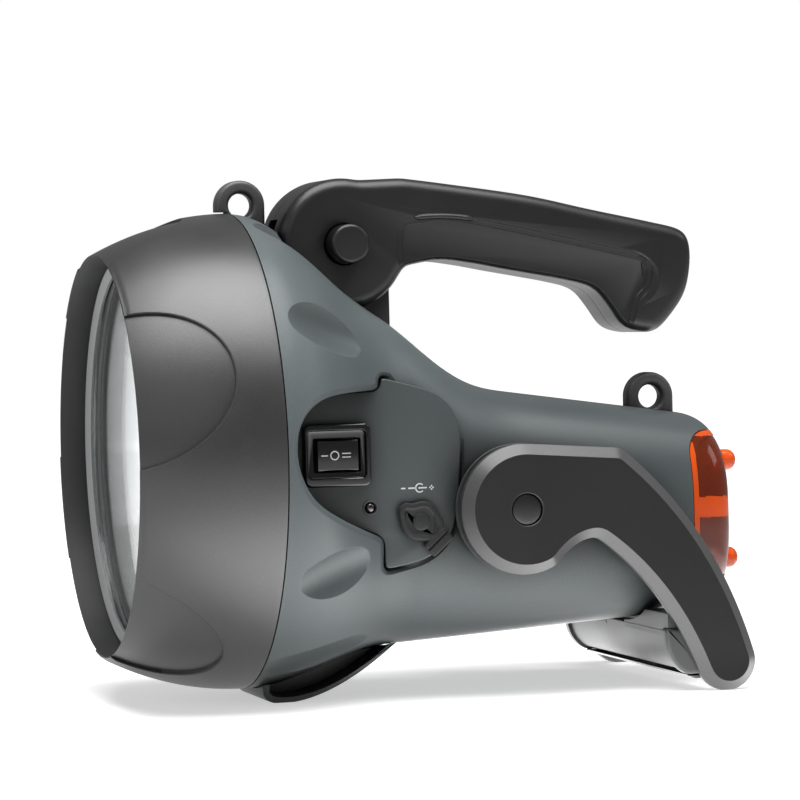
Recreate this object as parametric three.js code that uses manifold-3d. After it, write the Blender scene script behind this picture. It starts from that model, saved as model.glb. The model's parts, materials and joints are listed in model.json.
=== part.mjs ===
// Rechargeable hand spotlight with a locking top handle and a folding stand.
// Millimetres. The head axis runs along x, towards the tail; x is 0 at the seam between bezel and housing.
// y is 0 on the mid-plane and the switch is on the -y side. While it is built z is 0 on the head axis, and
// at the end the lamp is moved so that its origin is the bottom centre of its box.
import * as THREE from 'three';
import { mergeVertices } from 'three/addons/utils/BufferGeometryUtils.js';
import Module from 'manifold-3d';

const wasm = await Module();
wasm.setup();

// Fits
const gap = 0.3;
const overrun = 5;
const weldTolerance = 0.0005;
const facetTolerance = 0.05;

// Head
const headRadius = 83.6;
const rimTaper = 12.4;
const hoodStep = 2.6;
const bezelLength = 47.8;
const bezelCurvePower = 2.05;
const bezelWall = 3.2;
const lipWidth = 1.3;
const lipRound = 0.6;
const hoodDepth = 9;
const panelDepth = 0.9;
const panelReach = 32;
const panelHalfAngle = 22.5;
const panelAngles = [90, 20.5, -56, 159.5, 236];
const trimRingThickness = 2.5;
const trimRingWidth = 3.4;
const lensThickness = 2.8;
const gasketThickness = 1.2;
const gasketWidth = 3;
const shelfThickness = 2.2;
const shelfWidth = 3.9;
const reflectorWall = 1.6;
const reflectorRimInset = 5.1;
const reflectorThroatRadius = 9;
const reflectorDepth = 43;
const reflectorFlangeReach = 5.1;
const reflectorDepthShares = [0, 0.27, 0.54, 0.79, 0.94, 1];
const ledBoardRadius = 14;
const ledBoardThickness = 1.6;
const emitterRadius = 5;
const emitterHeight = 1.5;
const heatSinkRadius = 24;
const heatSinkBase = 4;
const heatSinkLength = 18;
const finThickness = 2;
const finPitch = 6.2;

// Housing
const wall = 3;
const housingLength = 173;
const flareStart = 3;
const flareLength = 46;
const flareSideLength = 52;
const neckStart = 38;
const neckLength = 62;
const neckRise = 25;
const neckPower = 1.5;
const barrelTop = 32.6;
const barrelTopSlope = 0.146;
const barrelBottomDrop = 10.4;
const barrelBottomSlope = 0.06;
const barrelSideSlope = 0.02;
const barrelCornerPower = 3;
const tailRound = 9;
const spigotLength = 9;
const spigotWall = 2.6;
const spigotClearance = 1.2;
const flangeThickness = 3;
const ribThickness = 2.6;
const ribShares = [0.14, 0.78];

// Dimples in the flare, each an egg sunk into the surface
const dimpleHalfLength = 21;
const dimpleHalfWidth = 9;
const dimpleSink = 3.4;
const dimpleCentreX = 19;
const dimpleAngles = [35, -31, 71, -70];

// Battery and electronics
const batteryTailRoom = 25;
const batteryWidth = 70;
const batterySideRoom = 12;
const batteryHeight = 47;
const batteryX = 47;
const batteryBottomZ = -50.2;
const terminalLength = 8;
const terminalWidth = 5;
const terminalHeight = 4;
const terminalInset = 9;
const padThickness = 2;
const boardThickness = 1.6;
const boardEndRoom = 47;
const boardWidth = 44;
const rearBoardWidth = 62;
const rearBoardHeight = 40;
const rearLedRadius = 2.5;
const rearLedLength = 7;
const rearLedHalfSpacing = 16;
const rearLedHalfRise = 11;

// Control plate, which runs into the switch recess
const plateProud = 1.5;
const plateThickness = 4.7;
const plateLeftX = 41.5;
const plateRightX = 70.4;
const plateTopZ = 25.6;
const plateBottomZ = -41.2;
const plateOutlineShares = [
  [0, 0], [0.38, 0.03], [0.62, 0.07], [0.82, 0.16], [0.92, 0.27], [1, 0.63],
  [0.96, 0.77], [0.84, 0.86], [0.64, 0.92], [0.35, 0.96], [0, 1],
];
const recessLeftX = 3.5;
const recessTopZ = 20;
const recessBottomZ = -30;
const recessOutlineShares = [
  [1, 0], [0.73, 0.08], [0.46, 0.17], [0.23, 0.27], [0.1, 0.38], [0.02, 0.52],
  [0, 0.66], [0.04, 0.81], [0.17, 0.93], [0.42, 1], [1, 1],
];
const pocketWall = 2.5;
const frameLength = 23.7;
const frameHeight = 21.6;
const frameProud = 3;
const frameCorner = 2.4;
const frameSeatWidth = 1.6;
const switchX = 25.2;
const switchZ = -0.9;
const rockerHalfLength = 7.3;
const rockerHalfHeight = 5.4;
const rockerProud = 3.4;
const rockerHeel = 5.4;
const rockerDish = 0.8;
const switchWellHalfLength = 8.4;
const switchWellHalfHeight = 5.9;
const switchBodyWall = 1.6;
const switchBodyDepth = 13.5;
const chargeLedX = 37;
const chargeLedZ = -19.4;
const chargeLedRadius = 1.6;
const chargeLedLength = 6;
const chargeLedProud = 0.6;
const jackX = 55;
const jackZ = -25.5;
const jackRadius = 5.2;
const jackLength = 7.4;
const jackBoreRadius = 3;
const jackBoreDepth = 5;
const jackPinRadius = 1;
const coverRadius = 8.4;
const coverThickness = 1.7;
const coverPlugRadius = 3.4;
const coverPlugLength = 2.6;
const coverPlugClearance = 1.2;
const coverHingeReach = 10.4;
const coverHingeRadius = 1;
const coverHingeLength = 9;
const coverHingeAngle = 42;

// Strap rings
const ringRadius = 8.8;
const ringHoleRadius = 4.2;
const ringThickness = 7;
const ringBevel = 1.3;
const ringFootLength = 8;
const ringFootDepth = 8.5;
const frontRingX = 5.2;
const frontRingRise = 3.6;
const rearRingTailRoom = 16.7;
const rearRingRise = 4.7;

// Keel foot
const groundDrop = 4.1;
const keelFrontX = 4.5;
const keelRearX = 54.5;
const keelDepth = 20;
const keelSkidHalfWidth = 20;
const keelSkidThickness = 2.2;
const keelWebHalfWidth = 9;
const keelNoseShare = 0.22;
const keelFlatShare = 0.14;
const keelBowShare = 0.51;

// Tail lens
const tailLensDepth = 16;
const tailLensTopZ = 2.4;
const tailLensBottomZ = -51;
const tailLensCorner = 9;
const tailLensWall = 2.2;
const knobRadius = 3.8;
const knobReach = 6.3;
const knobRound = 1.6;
const knobY = 26;
const knobInset = 10;
const tailRibHalfHeight = 3.6;
const tailRibHalfWidth = 30;
const tailRibDepth = 6;

// Handle
const pivotX = 39.2;
const pivotDrop = 11.9;
const hubRadius = 23.3;
const hubArcStart = 75;
const hubArcEnd = 332;
const handleHalfWidth = 16;
const handleBevel = 4.5;
const handleBevelSteps = 2;
const handleWall = 3.4;
const hubClearance = 2.2;
const hubSideClearance = 1.2;
const gripLength = 130.1;
const gripHeight = 57.1;
const gripTop = 23.8;
const gripOutlineShares = [
  [0.175, 0.558], [0.268, 0.527], [0.36, 0.552], [0.456, 0.595], [0.55, 0.635], [0.64, 0.676], [0.712, 0.727],
  [0.756, 0.84], [0.792, 0.955], [0.835, 1], [0.894, 0.998], [0.954, 0.862], [0.986, 0.736],
  [1, 0.564], [0.995, 0.43], [0.968, 0.362], [0.883, 0.312], [0.708, 0.226], [0.526, 0.133],
  [0.299, 0.054], [0.17, 0.014],
];
const gripPanelDepth = 1.2;
const gripPanelShares = [
  [0.16, 0.75], [0.147, 0.4], [0.17, 0.28], [0.215, 0.258], [0.347, 0.264], [0.816, 0.5], [0.864, 0.548],
  [0.882, 0.625], [0.868, 0.744], [0.834, 0.851], [0.8, 1.2],
];
const hollowStartShare = 0.24;
const tongueHalfWidth = 5;
const tongueRadius = 17;
const tongueStemHalfLength = 9;
const tongueHeelLength = 18.9;
const tongueHeelDrop = 10.7;
const tongueFootHalfLength = 10.5;
const tongueFootHalfWidth = 9;
const tongueFootThickness = 3;
const tongueClearance = 0.4;
const axleRadius = 3;
const axleInnerY = -12;
const buttonRadius = 6.9;
const buttonProud = 9;
const buttonTravel = 3.5;
const buttonRound = 1.4;
const buttonFlangeRadius = 8.4;
const buttonFlangeThickness = 2;
const gearRadius = 11;
const gearToothDepth = 1.6;
const gearTeeth = 12;
const gearToothShares = [[-0.34, 1], [-0.16, 0], [0.16, 0], [0.34, 1]];
const gearEngaged = 3;
const gearWidth = 6;
const gearClearance = 0.5;
const springRadius = 5.4;
const springWireRadius = 0.45;
const springTurns = 3;
const springSteps = 30;
const springPocketDepth = 4;
const capRadius = 7;
const capThickness = 2.4;
const handleScrewShares = [[0.3, 0.28], [0.55, 0.37], [0.8, 0.5]];

// Stand
const standX = 89.5;
const standZ = -21.5;
const bossRadius = 20.5;
const bossProud = 6;
const washerRadius = 17;
const washerThickness = 0.9;
const legThickness = 2.6;
const armCoverThickness = 3.9;
const armBevel = 3.6;
const standHubRadius = 22.6;
const standHubArcEnd = 300;
const standTipInner = 200;
const standTipOuter = 5;
const standTipX = 162.4;
const standTipRadius = 10.8;
const standElbowX = 125;
const standElbowZ = -1.6;
const standShoulderX = 160;
const standShoulderZ = -30;
const standCrookX = 115.5;
const standCrookZ = -32.2;
const standShinX = 140;
const standShinZ = -49.5;
const standCrookReach = 8;
const standPinRadius = 4;
const standPinDepth = 9.5;
const standCapRadius = 5.7;
const standCapRecess = 1.6;
const crossbarX = 140.6;
const crossbarLength = 17;
const crossbarTopRise = 22.4;
const crossbarFootRise = 6;
const crossbarShares = [
  [0, 1], [0.03, 0.62], [0.15, 0.28], [0.44, 0], [1, 0], [0.92, 0.22], [0.66, 0.52], [0.56, 1],
];
const footStripThickness = 1.6;
const footStripShares = [[0.48, 1], [0.66, 0], [1, 0], [1, 1]];

// Screws
const screwRadius = 1.5;
const screwHeadRadius = 2.9;
const screwHeadHeight = 2;
const screwHeadY = 16;
const screwLength = 25;
const screwBossRadius = 5.4;
const screwWellRadius = 3.5;
const handleScrewHeadY = 10;
const handleScrewLength = 18;
const handleBossRadius = 4.6;
const housingScrewShares = [
  [0.07, 0.57], [0.08, -0.69], [0.35, 0.36], [0.53, 0.13], [0.79, 0.05], [0.21, -0.72],
];

// Facets
const roundSteps = 36;
const smallSteps = 20;
const tinySteps = 10;
const curveSteps = 6;
const armSteps = 8;
const housingSteps = 32;
const dimpleSteps = 11;
const buttonSteps = 24;
const wireSteps = 3;
const armBevelSteps = 1;
const ringBevelSteps = 1;

// Sizes that follow from those above
const rimRadius = headRadius - rimTaper;
const lensSeatRadius = rimRadius - hoodStep;
const reflectorRimRadius = lensSeatRadius - reflectorRimInset;
const reflectorFlangeRadius = lensSeatRadius + reflectorFlangeReach;
const barrelBottom = headRadius - barrelBottomDrop;
const groundZ = -headRadius - groundDrop;
const pivotZ = headRadius - pivotDrop;
const barrelHalfWidth = batteryWidth / 2 + batterySideRoom;
const plateFaceY = -(barrelHalfWidth + plateProud);
const bossFaceY = barrelHalfWidth + bossProud;
const standPinInnerY = barrelHalfWidth - standPinDepth;
const batteryLength = housingLength - batteryX - batteryTailRoom;
const boardLength = batteryLength - boardEndRoom;
const tailLensX = housingLength - tailLensDepth;
const rearRingX = housingLength - rearRingTailRoom;
const crossbarTopZ = groundZ + crossbarTopRise;
const crossbarFootZ = groundZ + crossbarFootRise;
const screwPlace = ([along, up]) => ({ x: along * housingLength, z: up * headRadius });
const housingScrews = housingScrewShares.map(screwPlace);

// Materials
const paint = (color, roughness, metalness) =>
  new THREE.MeshStandardMaterial({ color, roughness, metalness });
const bezelBlack = paint(0x3a3a3b, 0.62, 0);
const housingGrey = paint(0x5c6668, 0.55, 0);
const plateGrey = paint(0x4f5455, 0.6, 0);
const handleBlack = paint(0x262627, 0.55, 0);
const armDark = paint(0x313131, 0.6, 0);
const armEdge = paint(0x4a4a4a, 0.55, 0);
const glossBlack = paint(0x151515, 0.25, 0);
const softBlack = paint(0x1b1b1b, 0.85, 0);
const trimSilver = paint(0x9a9a9a, 0.35, 0.2);
const clearGlass = paint(0xdfe6e8, 0.05, 0);
const mirrorChrome = paint(0xe2e3e4, 0.08, 1);
const tailOrange = paint(0xe24a21, 0.2, 0);
const zincSteel = paint(0xa9abad, 0.35, 0.9);
const aluminium = paint(0xb4b6b8, 0.4, 0.9);
const boardGreen = paint(0x1d4a33, 0.5, 0);
const emitterYellow = paint(0xe3c44a, 0.4, 0);
const ledRed = paint(0xb02018, 0.2, 0);
const batteryBlack = paint(0x202226, 0.6, 0);
const padGrey = paint(0x606060, 0.95, 0);

const lamp = new THREE.Group();
const radians = (degrees) => (degrees * Math.PI) / 180;

// A closed three.js geometry as a solid
function solid(geometry) {
  const bare = geometry.index ? geometry.toNonIndexed() : geometry.clone();
  bare.deleteAttribute('normal');
  bare.deleteAttribute('uv');
  const merged = mergeVertices(bare, weldTolerance);
  const vertProperties = new Float32Array(merged.attributes.position.array);
  const corners = merged.index.array;
  const kept = [];
  for (let i = 0; i < corners.length; i += 3) {
    const [a, b, c] = corners.slice(i, i + 3);
    if (a !== b && b !== c && c !== a) {
      kept.push(a, b, c);
    }
  }
  const triVerts = new Uint32Array(kept);
  return new wasm.Manifold(new wasm.Mesh({ numProp: 3, vertProperties, triVerts }));
}

function geometryOf(body) {
  const data = body.getMesh();
  const geometry = new THREE.BufferGeometry();
  geometry.setAttribute('position', new THREE.BufferAttribute(new Float32Array(data.vertProperties), 3));
  geometry.setIndex(new THREE.BufferAttribute(new Uint32Array(data.triVerts), 1));
  return geometry;
}

function piece(name, body, material) {
  const mesh = new THREE.Mesh(geometryOf(body.simplify(facetTolerance)), material);
  mesh.name = name;
  lamp.add(mesh);
}

const joined = (bodies) => bodies.reduce((whole, body) => whole.add(body));
const mirrored = (body) => body.mirror([0, 1, 0]);

function block(x0, x1, y0, y1, z0, z1) {
  const geometry = new THREE.BoxGeometry(x1 - x0, y1 - y0, z1 - z0);
  geometry.translate((x0 + x1) / 2, (y0 + y1) / 2, (z0 + z1) / 2);
  return solid(geometry);
}

function rodY(radius, y0, y1, x, z, steps = smallSteps) {
  const geometry = new THREE.CylinderGeometry(radius, radius, y1 - y0, steps);
  geometry.translate(x, (y0 + y1) / 2, z);
  return solid(geometry);
}

function rodX(radius, x0, x1, y, z, steps = smallSteps) {
  const geometry = new THREE.CylinderGeometry(radius, radius, x1 - x0, steps);
  geometry.rotateZ(-Math.PI / 2);
  geometry.translate((x0 + x1) / 2, y, z);
  return solid(geometry);
}

// A closed profile of [place, radius] points turned about the x axis, whichever way round it runs
function turned(profile, steps = roundSteps) {
  const closed = [...profile, profile[0]];
  const crosses = profile.map(([place, radius], i) => place * closed[i + 1][1] - closed[i + 1][0] * radius);
  const area = crosses.reduce((sum, cross) => sum + cross);
  const ordered = area > 0 ? [...closed].reverse() : closed;
  const points = ordered.map(([place, radius]) => new THREE.Vector2(radius, place));
  const geometry = new THREE.LatheGeometry(points, steps);
  geometry.rotateZ(-Math.PI / 2);
  return solid(geometry);
}

// The same about a line along y through x and z; places on the profile are then y
function turnedY(profile, x, z, steps = smallSteps) {
  return turned(profile, steps).rotate([0, 0, 90]).translate([x, 0, z]);
}

// An outline in x and z, made larger or smaller by grow and extruded from y0 to y1
function slab(shape, y0, y1, grow = 0, steps = curveSteps) {
  const geometry = new THREE.ExtrudeGeometry(shape, {
    depth: y1 - y0,
    bevelSize: 0,
    bevelThickness: 0,
    bevelOffset: grow,
    bevelSegments: 0,
    curveSegments: steps,
  });
  geometry.rotateX(Math.PI / 2);
  geometry.translate(0, y1, 0);
  return solid(geometry);
}

// The same, with both edges broken by a bevel that stays inside the outline
function bevelledSlab(shape, y0, y1, bevel, bevelSegments, steps = curveSteps) {
  const geometry = new THREE.ExtrudeGeometry(shape, {
    depth: y1 - y0 - 2 * bevel,
    bevelSize: bevel,
    bevelThickness: bevel,
    bevelOffset: -bevel,
    bevelSegments,
    curveSegments: steps,
  });
  geometry.rotateX(Math.PI / 2);
  geometry.translate(0, y1 - bevel, 0);
  return solid(geometry);
}

function circleShape(radius, x, z) {
  const shape = new THREE.Shape();
  shape.absarc(x, z, radius, 0, 2 * Math.PI, false);
  return shape;
}

function roundedRect(x0, x1, z0, z1, corner) {
  const shape = new THREE.Shape();
  shape.moveTo(x0 + corner, z0);
  shape.lineTo(x1 - corner, z0);
  shape.absarc(x1 - corner, z0 + corner, corner, -Math.PI / 2, 0, false);
  shape.lineTo(x1, z1 - corner);
  shape.absarc(x1 - corner, z1 - corner, corner, 0, Math.PI / 2, false);
  shape.lineTo(x0 + corner, z1);
  shape.absarc(x0 + corner, z1 - corner, corner, Math.PI / 2, Math.PI, false);
  shape.lineTo(x0, z0 + corner);
  shape.absarc(x0 + corner, z0 + corner, corner, Math.PI, 1.5 * Math.PI, false);
  return shape;
}

// Share points of a box as places
const sharePoints = (shares, x, z, width, height) =>
  shares.map(([along, up]) => new THREE.Vector2(x + along * width, z + up * height));

// Falls smoothly from 1 to 0 along a length
function easeDown(x, start, length) {
  const share = Math.min(1, Math.max(0, (x - start) / length));
  return (1 + Math.cos(Math.PI * share)) / 2;
}

// Housing outline at a place along x, drawn in by inset
function housingSection(x, inset) {
  const flare = easeDown(x, flareStart, flareLength);
  const side = easeDown(x, flareStart, flareSideLength);
  const neck = neckRise * easeDown(x, neckStart, neckLength) ** neckPower;
  const topHere = barrelTop - barrelTopSlope * x + neck;
  const bottomHere = barrelBottom - barrelBottomSlope * x;
  const tailX = Math.max(0, x - (housingLength - tailRound));
  const drawn = inset + tailRound - Math.sqrt(Math.max(0, tailRound ** 2 - tailX ** 2));
  const top = topHere + (headRadius - barrelTop - neckRise) * flare - drawn;
  const bottom = bottomHere + (headRadius - barrelBottom) * flare - drawn;
  return {
    x,
    centre: (top - bottom) / 2,
    halfHeight: (top + bottom) / 2,
    halfWidth: barrelHalfWidth - barrelSideSlope * x + (headRadius - barrelHalfWidth) * side - drawn,
    power: 2 + (barrelCornerPower - 2) * (1 - side),
  };
}

function sectionPoint(section, angle) {
  const across = Math.abs(Math.cos(angle) / section.halfWidth) ** section.power;
  const up = Math.abs(Math.sin(angle) / section.halfHeight) ** section.power;
  const reach = (across + up) ** (-1 / section.power);
  return [section.x, reach * Math.cos(angle), section.centre + reach * Math.sin(angle)];
}

// A closed skin through a row of sections
function loft(sections, steps) {
  const positions = [];
  const indices = [];
  sections.forEach((section) => {
    for (let i = 0; i < steps; i += 1) {
      positions.push(...sectionPoint(section, (2 * Math.PI * i) / steps));
    }
  });
  const first = sections[0];
  const last = sections[sections.length - 1];
  const firstCentre = sections.length * steps;
  const lastRow = (sections.length - 1) * steps;
  positions.push(first.x, 0, first.centre, last.x, 0, last.centre);
  for (let i = 0; i < steps; i += 1) {
    const next = (i + 1) % steps;
    indices.push(firstCentre, next, i, firstCentre + 1, lastRow + i, lastRow + next);
    for (let row = 0; row < lastRow; row += steps) {
      const a = row + i;
      const b = row + next;
      indices.push(a, b, a + steps, b, b + steps, a + steps);
    }
  }
  const geometry = new THREE.BufferGeometry();
  geometry.setAttribute('position', new THREE.Float32BufferAttribute(positions, 3));
  geometry.setIndex(indices);
  return solid(geometry);
}

// Stations along the housing: close in the flare, wide in the barrel, close again at the tail
const flareShares = [0, 0.14, 0.28, 0.41, 0.54, 0.68, 0.84];
const barrelShares = [0, 0.12, 0.24, 0.36, 0.5, 1];
const tailShares = [0.5, 0.83, 0.97];
const flareEnd = flareStart + flareLength;
const tailStart = housingLength - tailRound;

function housingSkin(inset, start = 0) {
  const stations = [
    ...flareShares.map((share) => start + (flareEnd - start) * share),
    ...barrelShares.map((share) => flareEnd + (tailStart - flareEnd) * share),
    ...tailShares.map((share) => tailStart + tailRound * share),
  ];
  return loft(stations.map((x) => housingSection(x, inset)), housingSteps);
}

// Inside of the housing: thicker behind the flare, where the dimples are, and open at the front
function housingInside() {
  const stations = [
    -overrun,
    ...flareShares.map((share) => flareEnd * share),
    ...barrelShares.map((share) => flareEnd + (tailStart - flareEnd) * share),
    housingLength - wall,
  ];
  const insetAt = (x) => wall + dimpleSink * easeDown(x, flareStart, flareSideLength);
  const sectionAt = (x) => housingSection(Math.min(x, housingLength - wall), insetAt(x));
  return loft(stations.map(sectionAt), housingSteps);
}

const surfaceTop = (x) => {
  const section = housingSection(x, 0);
  return section.centre + section.halfHeight;
};

// Head
const rimX = -bezelLength;
const trimRingX = rimX + hoodDepth;
const lensX = trimRingX + trimRingThickness + gap;
const gasketX = lensX + lensThickness + gap;
const shelfX = gasketX + gasketThickness + gap;
const shelfBackX = shelfX + shelfThickness;
const seatedRadius = lensSeatRadius - gap;
const reflectorX = shelfBackX + gap;
const throatX = reflectorX + reflectorDepth + reflectorWall;
const ledBoardX = throatX + gap;
const heatSinkX = ledBoardX + ledBoardThickness + gap;

function bezelCurve(x0, x1, count, inset) {
  const points = [];
  for (let i = 0; i <= count; i += 1) {
    const x = x0 + ((x1 - x0) * i) / count;
    const drop = (headRadius - rimRadius) * (-x / bezelLength) ** bezelCurvePower;
    points.push([x, headRadius - drop - inset]);
  }
  return points;
}

// One shallow panel: a half oval that starts on the rim, seen along the radius
function panelCutter(angle) {
  const shape = new THREE.Shape();
  shape.absellipse(rimX, 0, panelReach, rimRadius * Math.sin(radians(panelHalfAngle)), 0, 2 * Math.PI, false);
  const geometry = new THREE.ExtrudeGeometry(shape, {
    depth: headRadius + overrun,
    bevelEnabled: false,
    curveSegments: tinySteps,
  });
  geometry.rotateX(radians(90 - angle));
  return solid(geometry);
}

function bezel() {
  const body = turned([
    [rimX, rimRadius - lipRound],
    ...bezelCurve(rimX + lipRound, -gap, curveSteps, 0),
    ...bezelCurve(shelfBackX, -gap, 2, bezelWall).reverse(),
    [shelfBackX, lensSeatRadius - shelfWidth],
    [shelfX, lensSeatRadius - shelfWidth],
    [shelfX, lensSeatRadius],
    [trimRingX, lensSeatRadius],
    [rimX, rimRadius - lipWidth],
  ]);
  const skin = turned([
    ...bezelCurve(rimX - overrun, -gap, curveSteps, panelDepth),
    ...bezelCurve(rimX - overrun, -gap, 1, -overrun).reverse(),
  ]);
  return body.subtract(skin.intersect(joined(panelAngles.map(panelCutter))));
}

function trimRing() {
  const back = trimRingX + trimRingThickness;
  const inner = seatedRadius - trimRingWidth;
  return turned([
    [trimRingX, seatedRadius],
    [back, seatedRadius],
    [back, inner],
    [trimRingX + trimRingThickness / 2, inner],
    [trimRingX, seatedRadius - trimRingWidth / 2],
  ]);
}

function gasket() {
  const back = gasketX + gasketThickness;
  return turned([
    [gasketX, seatedRadius],
    [back, seatedRadius],
    [back, seatedRadius - gasketWidth],
    [gasketX, seatedRadius - gasketWidth],
  ]);
}

function reflector() {
  const drop = reflectorRimRadius ** 2 - reflectorThroatRadius ** 2;
  const inner = reflectorDepthShares.map((share) => [
    reflectorX + reflectorDepth * share,
    Math.sqrt(reflectorRimRadius ** 2 - drop * share),
  ]);
  const outer = inner.map(([x, radius]) => [x + reflectorWall, radius + reflectorWall]);
  return turned([
    ...inner,
    ...outer.reverse(),
    [reflectorX + reflectorWall, reflectorFlangeRadius],
    [reflectorX, reflectorFlangeRadius],
  ]);
}

function heatSink() {
  const base = rodX(heatSinkRadius, heatSinkX, heatSinkX + heatSinkBase, 0, 0, roundSteps);
  const round = rodX(heatSinkRadius, heatSinkX, heatSinkX + heatSinkLength, 0, 0, roundSteps);
  const count = Math.floor(heatSinkRadius / finPitch);
  const fins = [];
  for (let i = -count; i <= count; i += 1) {
    const y0 = i * finPitch - finThickness / 2;
    const x1 = heatSinkX + heatSinkLength;
    fins.push(block(heatSinkX, x1, y0, y0 + finThickness, -heatSinkRadius, heatSinkRadius));
  }
  return base.add(joined(fins).intersect(round));
}

// Outline and pocket of the control plate: the plate itself, then the recess from its top round to its foot
const plateShape = new THREE.Shape([
  ...sharePoints(
    plateOutlineShares, plateLeftX, plateBottomZ, plateRightX - plateLeftX, plateTopZ - plateBottomZ,
  ),
  ...sharePoints(
    recessOutlineShares, recessLeftX, recessBottomZ, plateLeftX - recessLeftX, recessTopZ - recessBottomZ,
  ).reverse(),
]);
const plateBackY = plateFaceY + plateThickness;
const plateFloorY = plateBackY + gap;
const outsideY = -headRadius - overrun;
const outsideYFar = headRadius + overrun;

const switchBodyHalfLength = switchWellHalfLength + switchBodyWall;
const switchBodyHalfHeight = switchWellHalfHeight + switchBodyWall;
const switchBox = (grow, y0, y1) => block(
  switchX - switchBodyHalfLength - grow, switchX + switchBodyHalfLength + grow, y0, y1,
  switchZ - switchBodyHalfHeight - grow, switchZ + switchBodyHalfHeight + grow,
);
const switchWell = (y0, y1) => block(
  switchX - switchWellHalfLength, switchX + switchWellHalfLength, y0, y1,
  switchZ - switchWellHalfHeight, switchZ + switchWellHalfHeight,
);
const frameBackY = plateFaceY - gap;

function switchFrame() {
  const outline = roundedRect(
    switchX - frameLength / 2, switchX + frameLength / 2,
    switchZ - frameHeight / 2, switchZ + frameHeight / 2, frameCorner,
  );
  const body = slab(outline, frameBackY - frameProud, frameBackY);
  const dish = slab(outline, frameBackY - frameProud - overrun, frameBackY - frameProud / 2, -frameSeatWidth);
  return body.subtract(dish).subtract(switchWell(outsideY, 0));
}

function switchBody() {
  const body = switchBox(0, frameBackY + gap, frameBackY + switchBodyDepth);
  return body.subtract(switchWell(outsideY, frameBackY + switchBodyDepth - 2 * switchBodyWall));
}

// The rocker turns about the z axis: a shallow dished face in front, a round heel behind
const rockerPivotY = plateFaceY;
function rocker() {
  const face = rockerPivotY - rockerProud;
  const shape = new THREE.Shape();
  shape.moveTo(switchX - rockerHalfLength, face);
  shape.lineTo(switchX, face + rockerDish);
  shape.lineTo(switchX + rockerHalfLength, face);
  shape.lineTo(switchX + rockerHeel, rockerPivotY);
  shape.absarc(switchX, rockerPivotY, rockerHeel, 0, Math.PI, false);
  const geometry = new THREE.ExtrudeGeometry(shape, {
    depth: 2 * rockerHalfHeight,
    bevelEnabled: false,
    curveSegments: curveSteps,
  });
  geometry.translate(0, 0, switchZ - rockerHalfHeight);
  return solid(geometry);
}

const jackHoleRadius = coverPlugRadius + coverPlugClearance;
function controlPlate() {
  const jackHole = rodY(jackHoleRadius, outsideY, 0, jackX, jackZ);
  const ledHole = rodY(chargeLedRadius + gap, outsideY, 0, chargeLedX, chargeLedZ, tinySteps);
  const plate = slab(plateShape, plateFaceY, plateBackY, -gap);
  return plate.subtract(jackHole).subtract(ledHole).subtract(switchBox(gap, outsideY, 0));
}

function jack() {
  const front = plateBackY + gap;
  const body = rodY(jackRadius, front, front + jackLength, jackX, jackZ);
  const bore = rodY(jackBoreRadius, outsideY, front + jackBoreDepth, jackX, jackZ);
  const pin = rodY(jackPinRadius, front, front + jackLength, jackX, jackZ, tinySteps);
  return body.subtract(bore).add(pin);
}

// The cover turns out about a line across its lower rear edge
const coverBackY = plateFaceY - gap;
const coverHingeY = coverBackY - coverHingeRadius;

function jackCover() {
  const disc = rodY(coverRadius, coverBackY - coverThickness, coverBackY, 0, 0);
  const plug = rodY(coverPlugRadius, coverBackY - coverThickness / 2, coverBackY + coverPlugLength, 0, 0);
  const half = coverHingeLength / 2;
  const tab = block(0, coverHingeReach, coverBackY - coverThickness, coverBackY, -half, half);
  const bead = new THREE.CylinderGeometry(coverHingeRadius, coverHingeRadius, coverHingeLength, tinySteps);
  bead.rotateX(Math.PI / 2);
  bead.translate(coverHingeReach, coverHingeY, 0);
  const cover = joined([disc, plug, tab, solid(bead)]);
  return cover.rotate([0, 90 - coverHingeAngle, 0]).translate([jackX, 0, jackZ]);
}

// Handle and what carries it
const hubPocket = (grow) => rodY(
  hubRadius + hubClearance + grow,
  -handleHalfWidth - hubSideClearance - grow,
  handleHalfWidth + hubSideClearance + grow,
  pivotX, pivotZ, roundSteps,
);
const pocketFloorZ = pivotZ - hubRadius - hubClearance - pocketWall;
const tongueFootZ = pocketFloorZ - gap - tongueFootThickness;

function tongueBlocks(grow) {
  const stem = block(
    pivotX - tongueStemHalfLength - grow, pivotX + tongueStemHalfLength + grow,
    -tongueHalfWidth - grow, tongueHalfWidth + grow,
    tongueFootZ, pivotZ,
  );
  const heel = block(
    pivotX - grow, pivotX + tongueHeelLength + grow,
    -tongueHalfWidth - grow, tongueHalfWidth + grow,
    tongueFootZ - grow, pivotZ - tongueHeelDrop,
  );
  const foot = block(
    pivotX - tongueFootHalfLength - grow, pivotX + tongueFootHalfLength + grow,
    -tongueFootHalfWidth - grow, tongueFootHalfWidth + grow,
    tongueFootZ - grow, tongueFootZ + tongueFootThickness,
  );
  return joined([stem, heel, foot]);
}

const gearPocketRadius = gearRadius + gearClearance;
const gearNearY = -tongueHalfWidth - tongueClearance - gearEngaged;
const gearFarY = gearNearY + gearWidth;
const springFloorY = tongueHalfWidth - (tongueHalfWidth - springPocketDepth);
const springPocketRadius = springRadius + springWireRadius + gearClearance;

function tongue() {
  const eye = rodY(tongueRadius, -tongueHalfWidth, tongueHalfWidth, pivotX, pivotZ, roundSteps);
  const gearPocket = rodY(
    gearPocketRadius, -handleHalfWidth, gearFarY + buttonTravel + gearClearance, pivotX, pivotZ,
  );
  const springPocket = rodY(springPocketRadius, -handleHalfWidth, springFloorY, pivotX, pivotZ);
  const bore = rodY(axleRadius + gap, -handleHalfWidth, handleHalfWidth, pivotX, pivotZ);
  return eye.add(tongueBlocks(0)).subtract(gearPocket).subtract(springPocket).subtract(bore);
}

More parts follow.
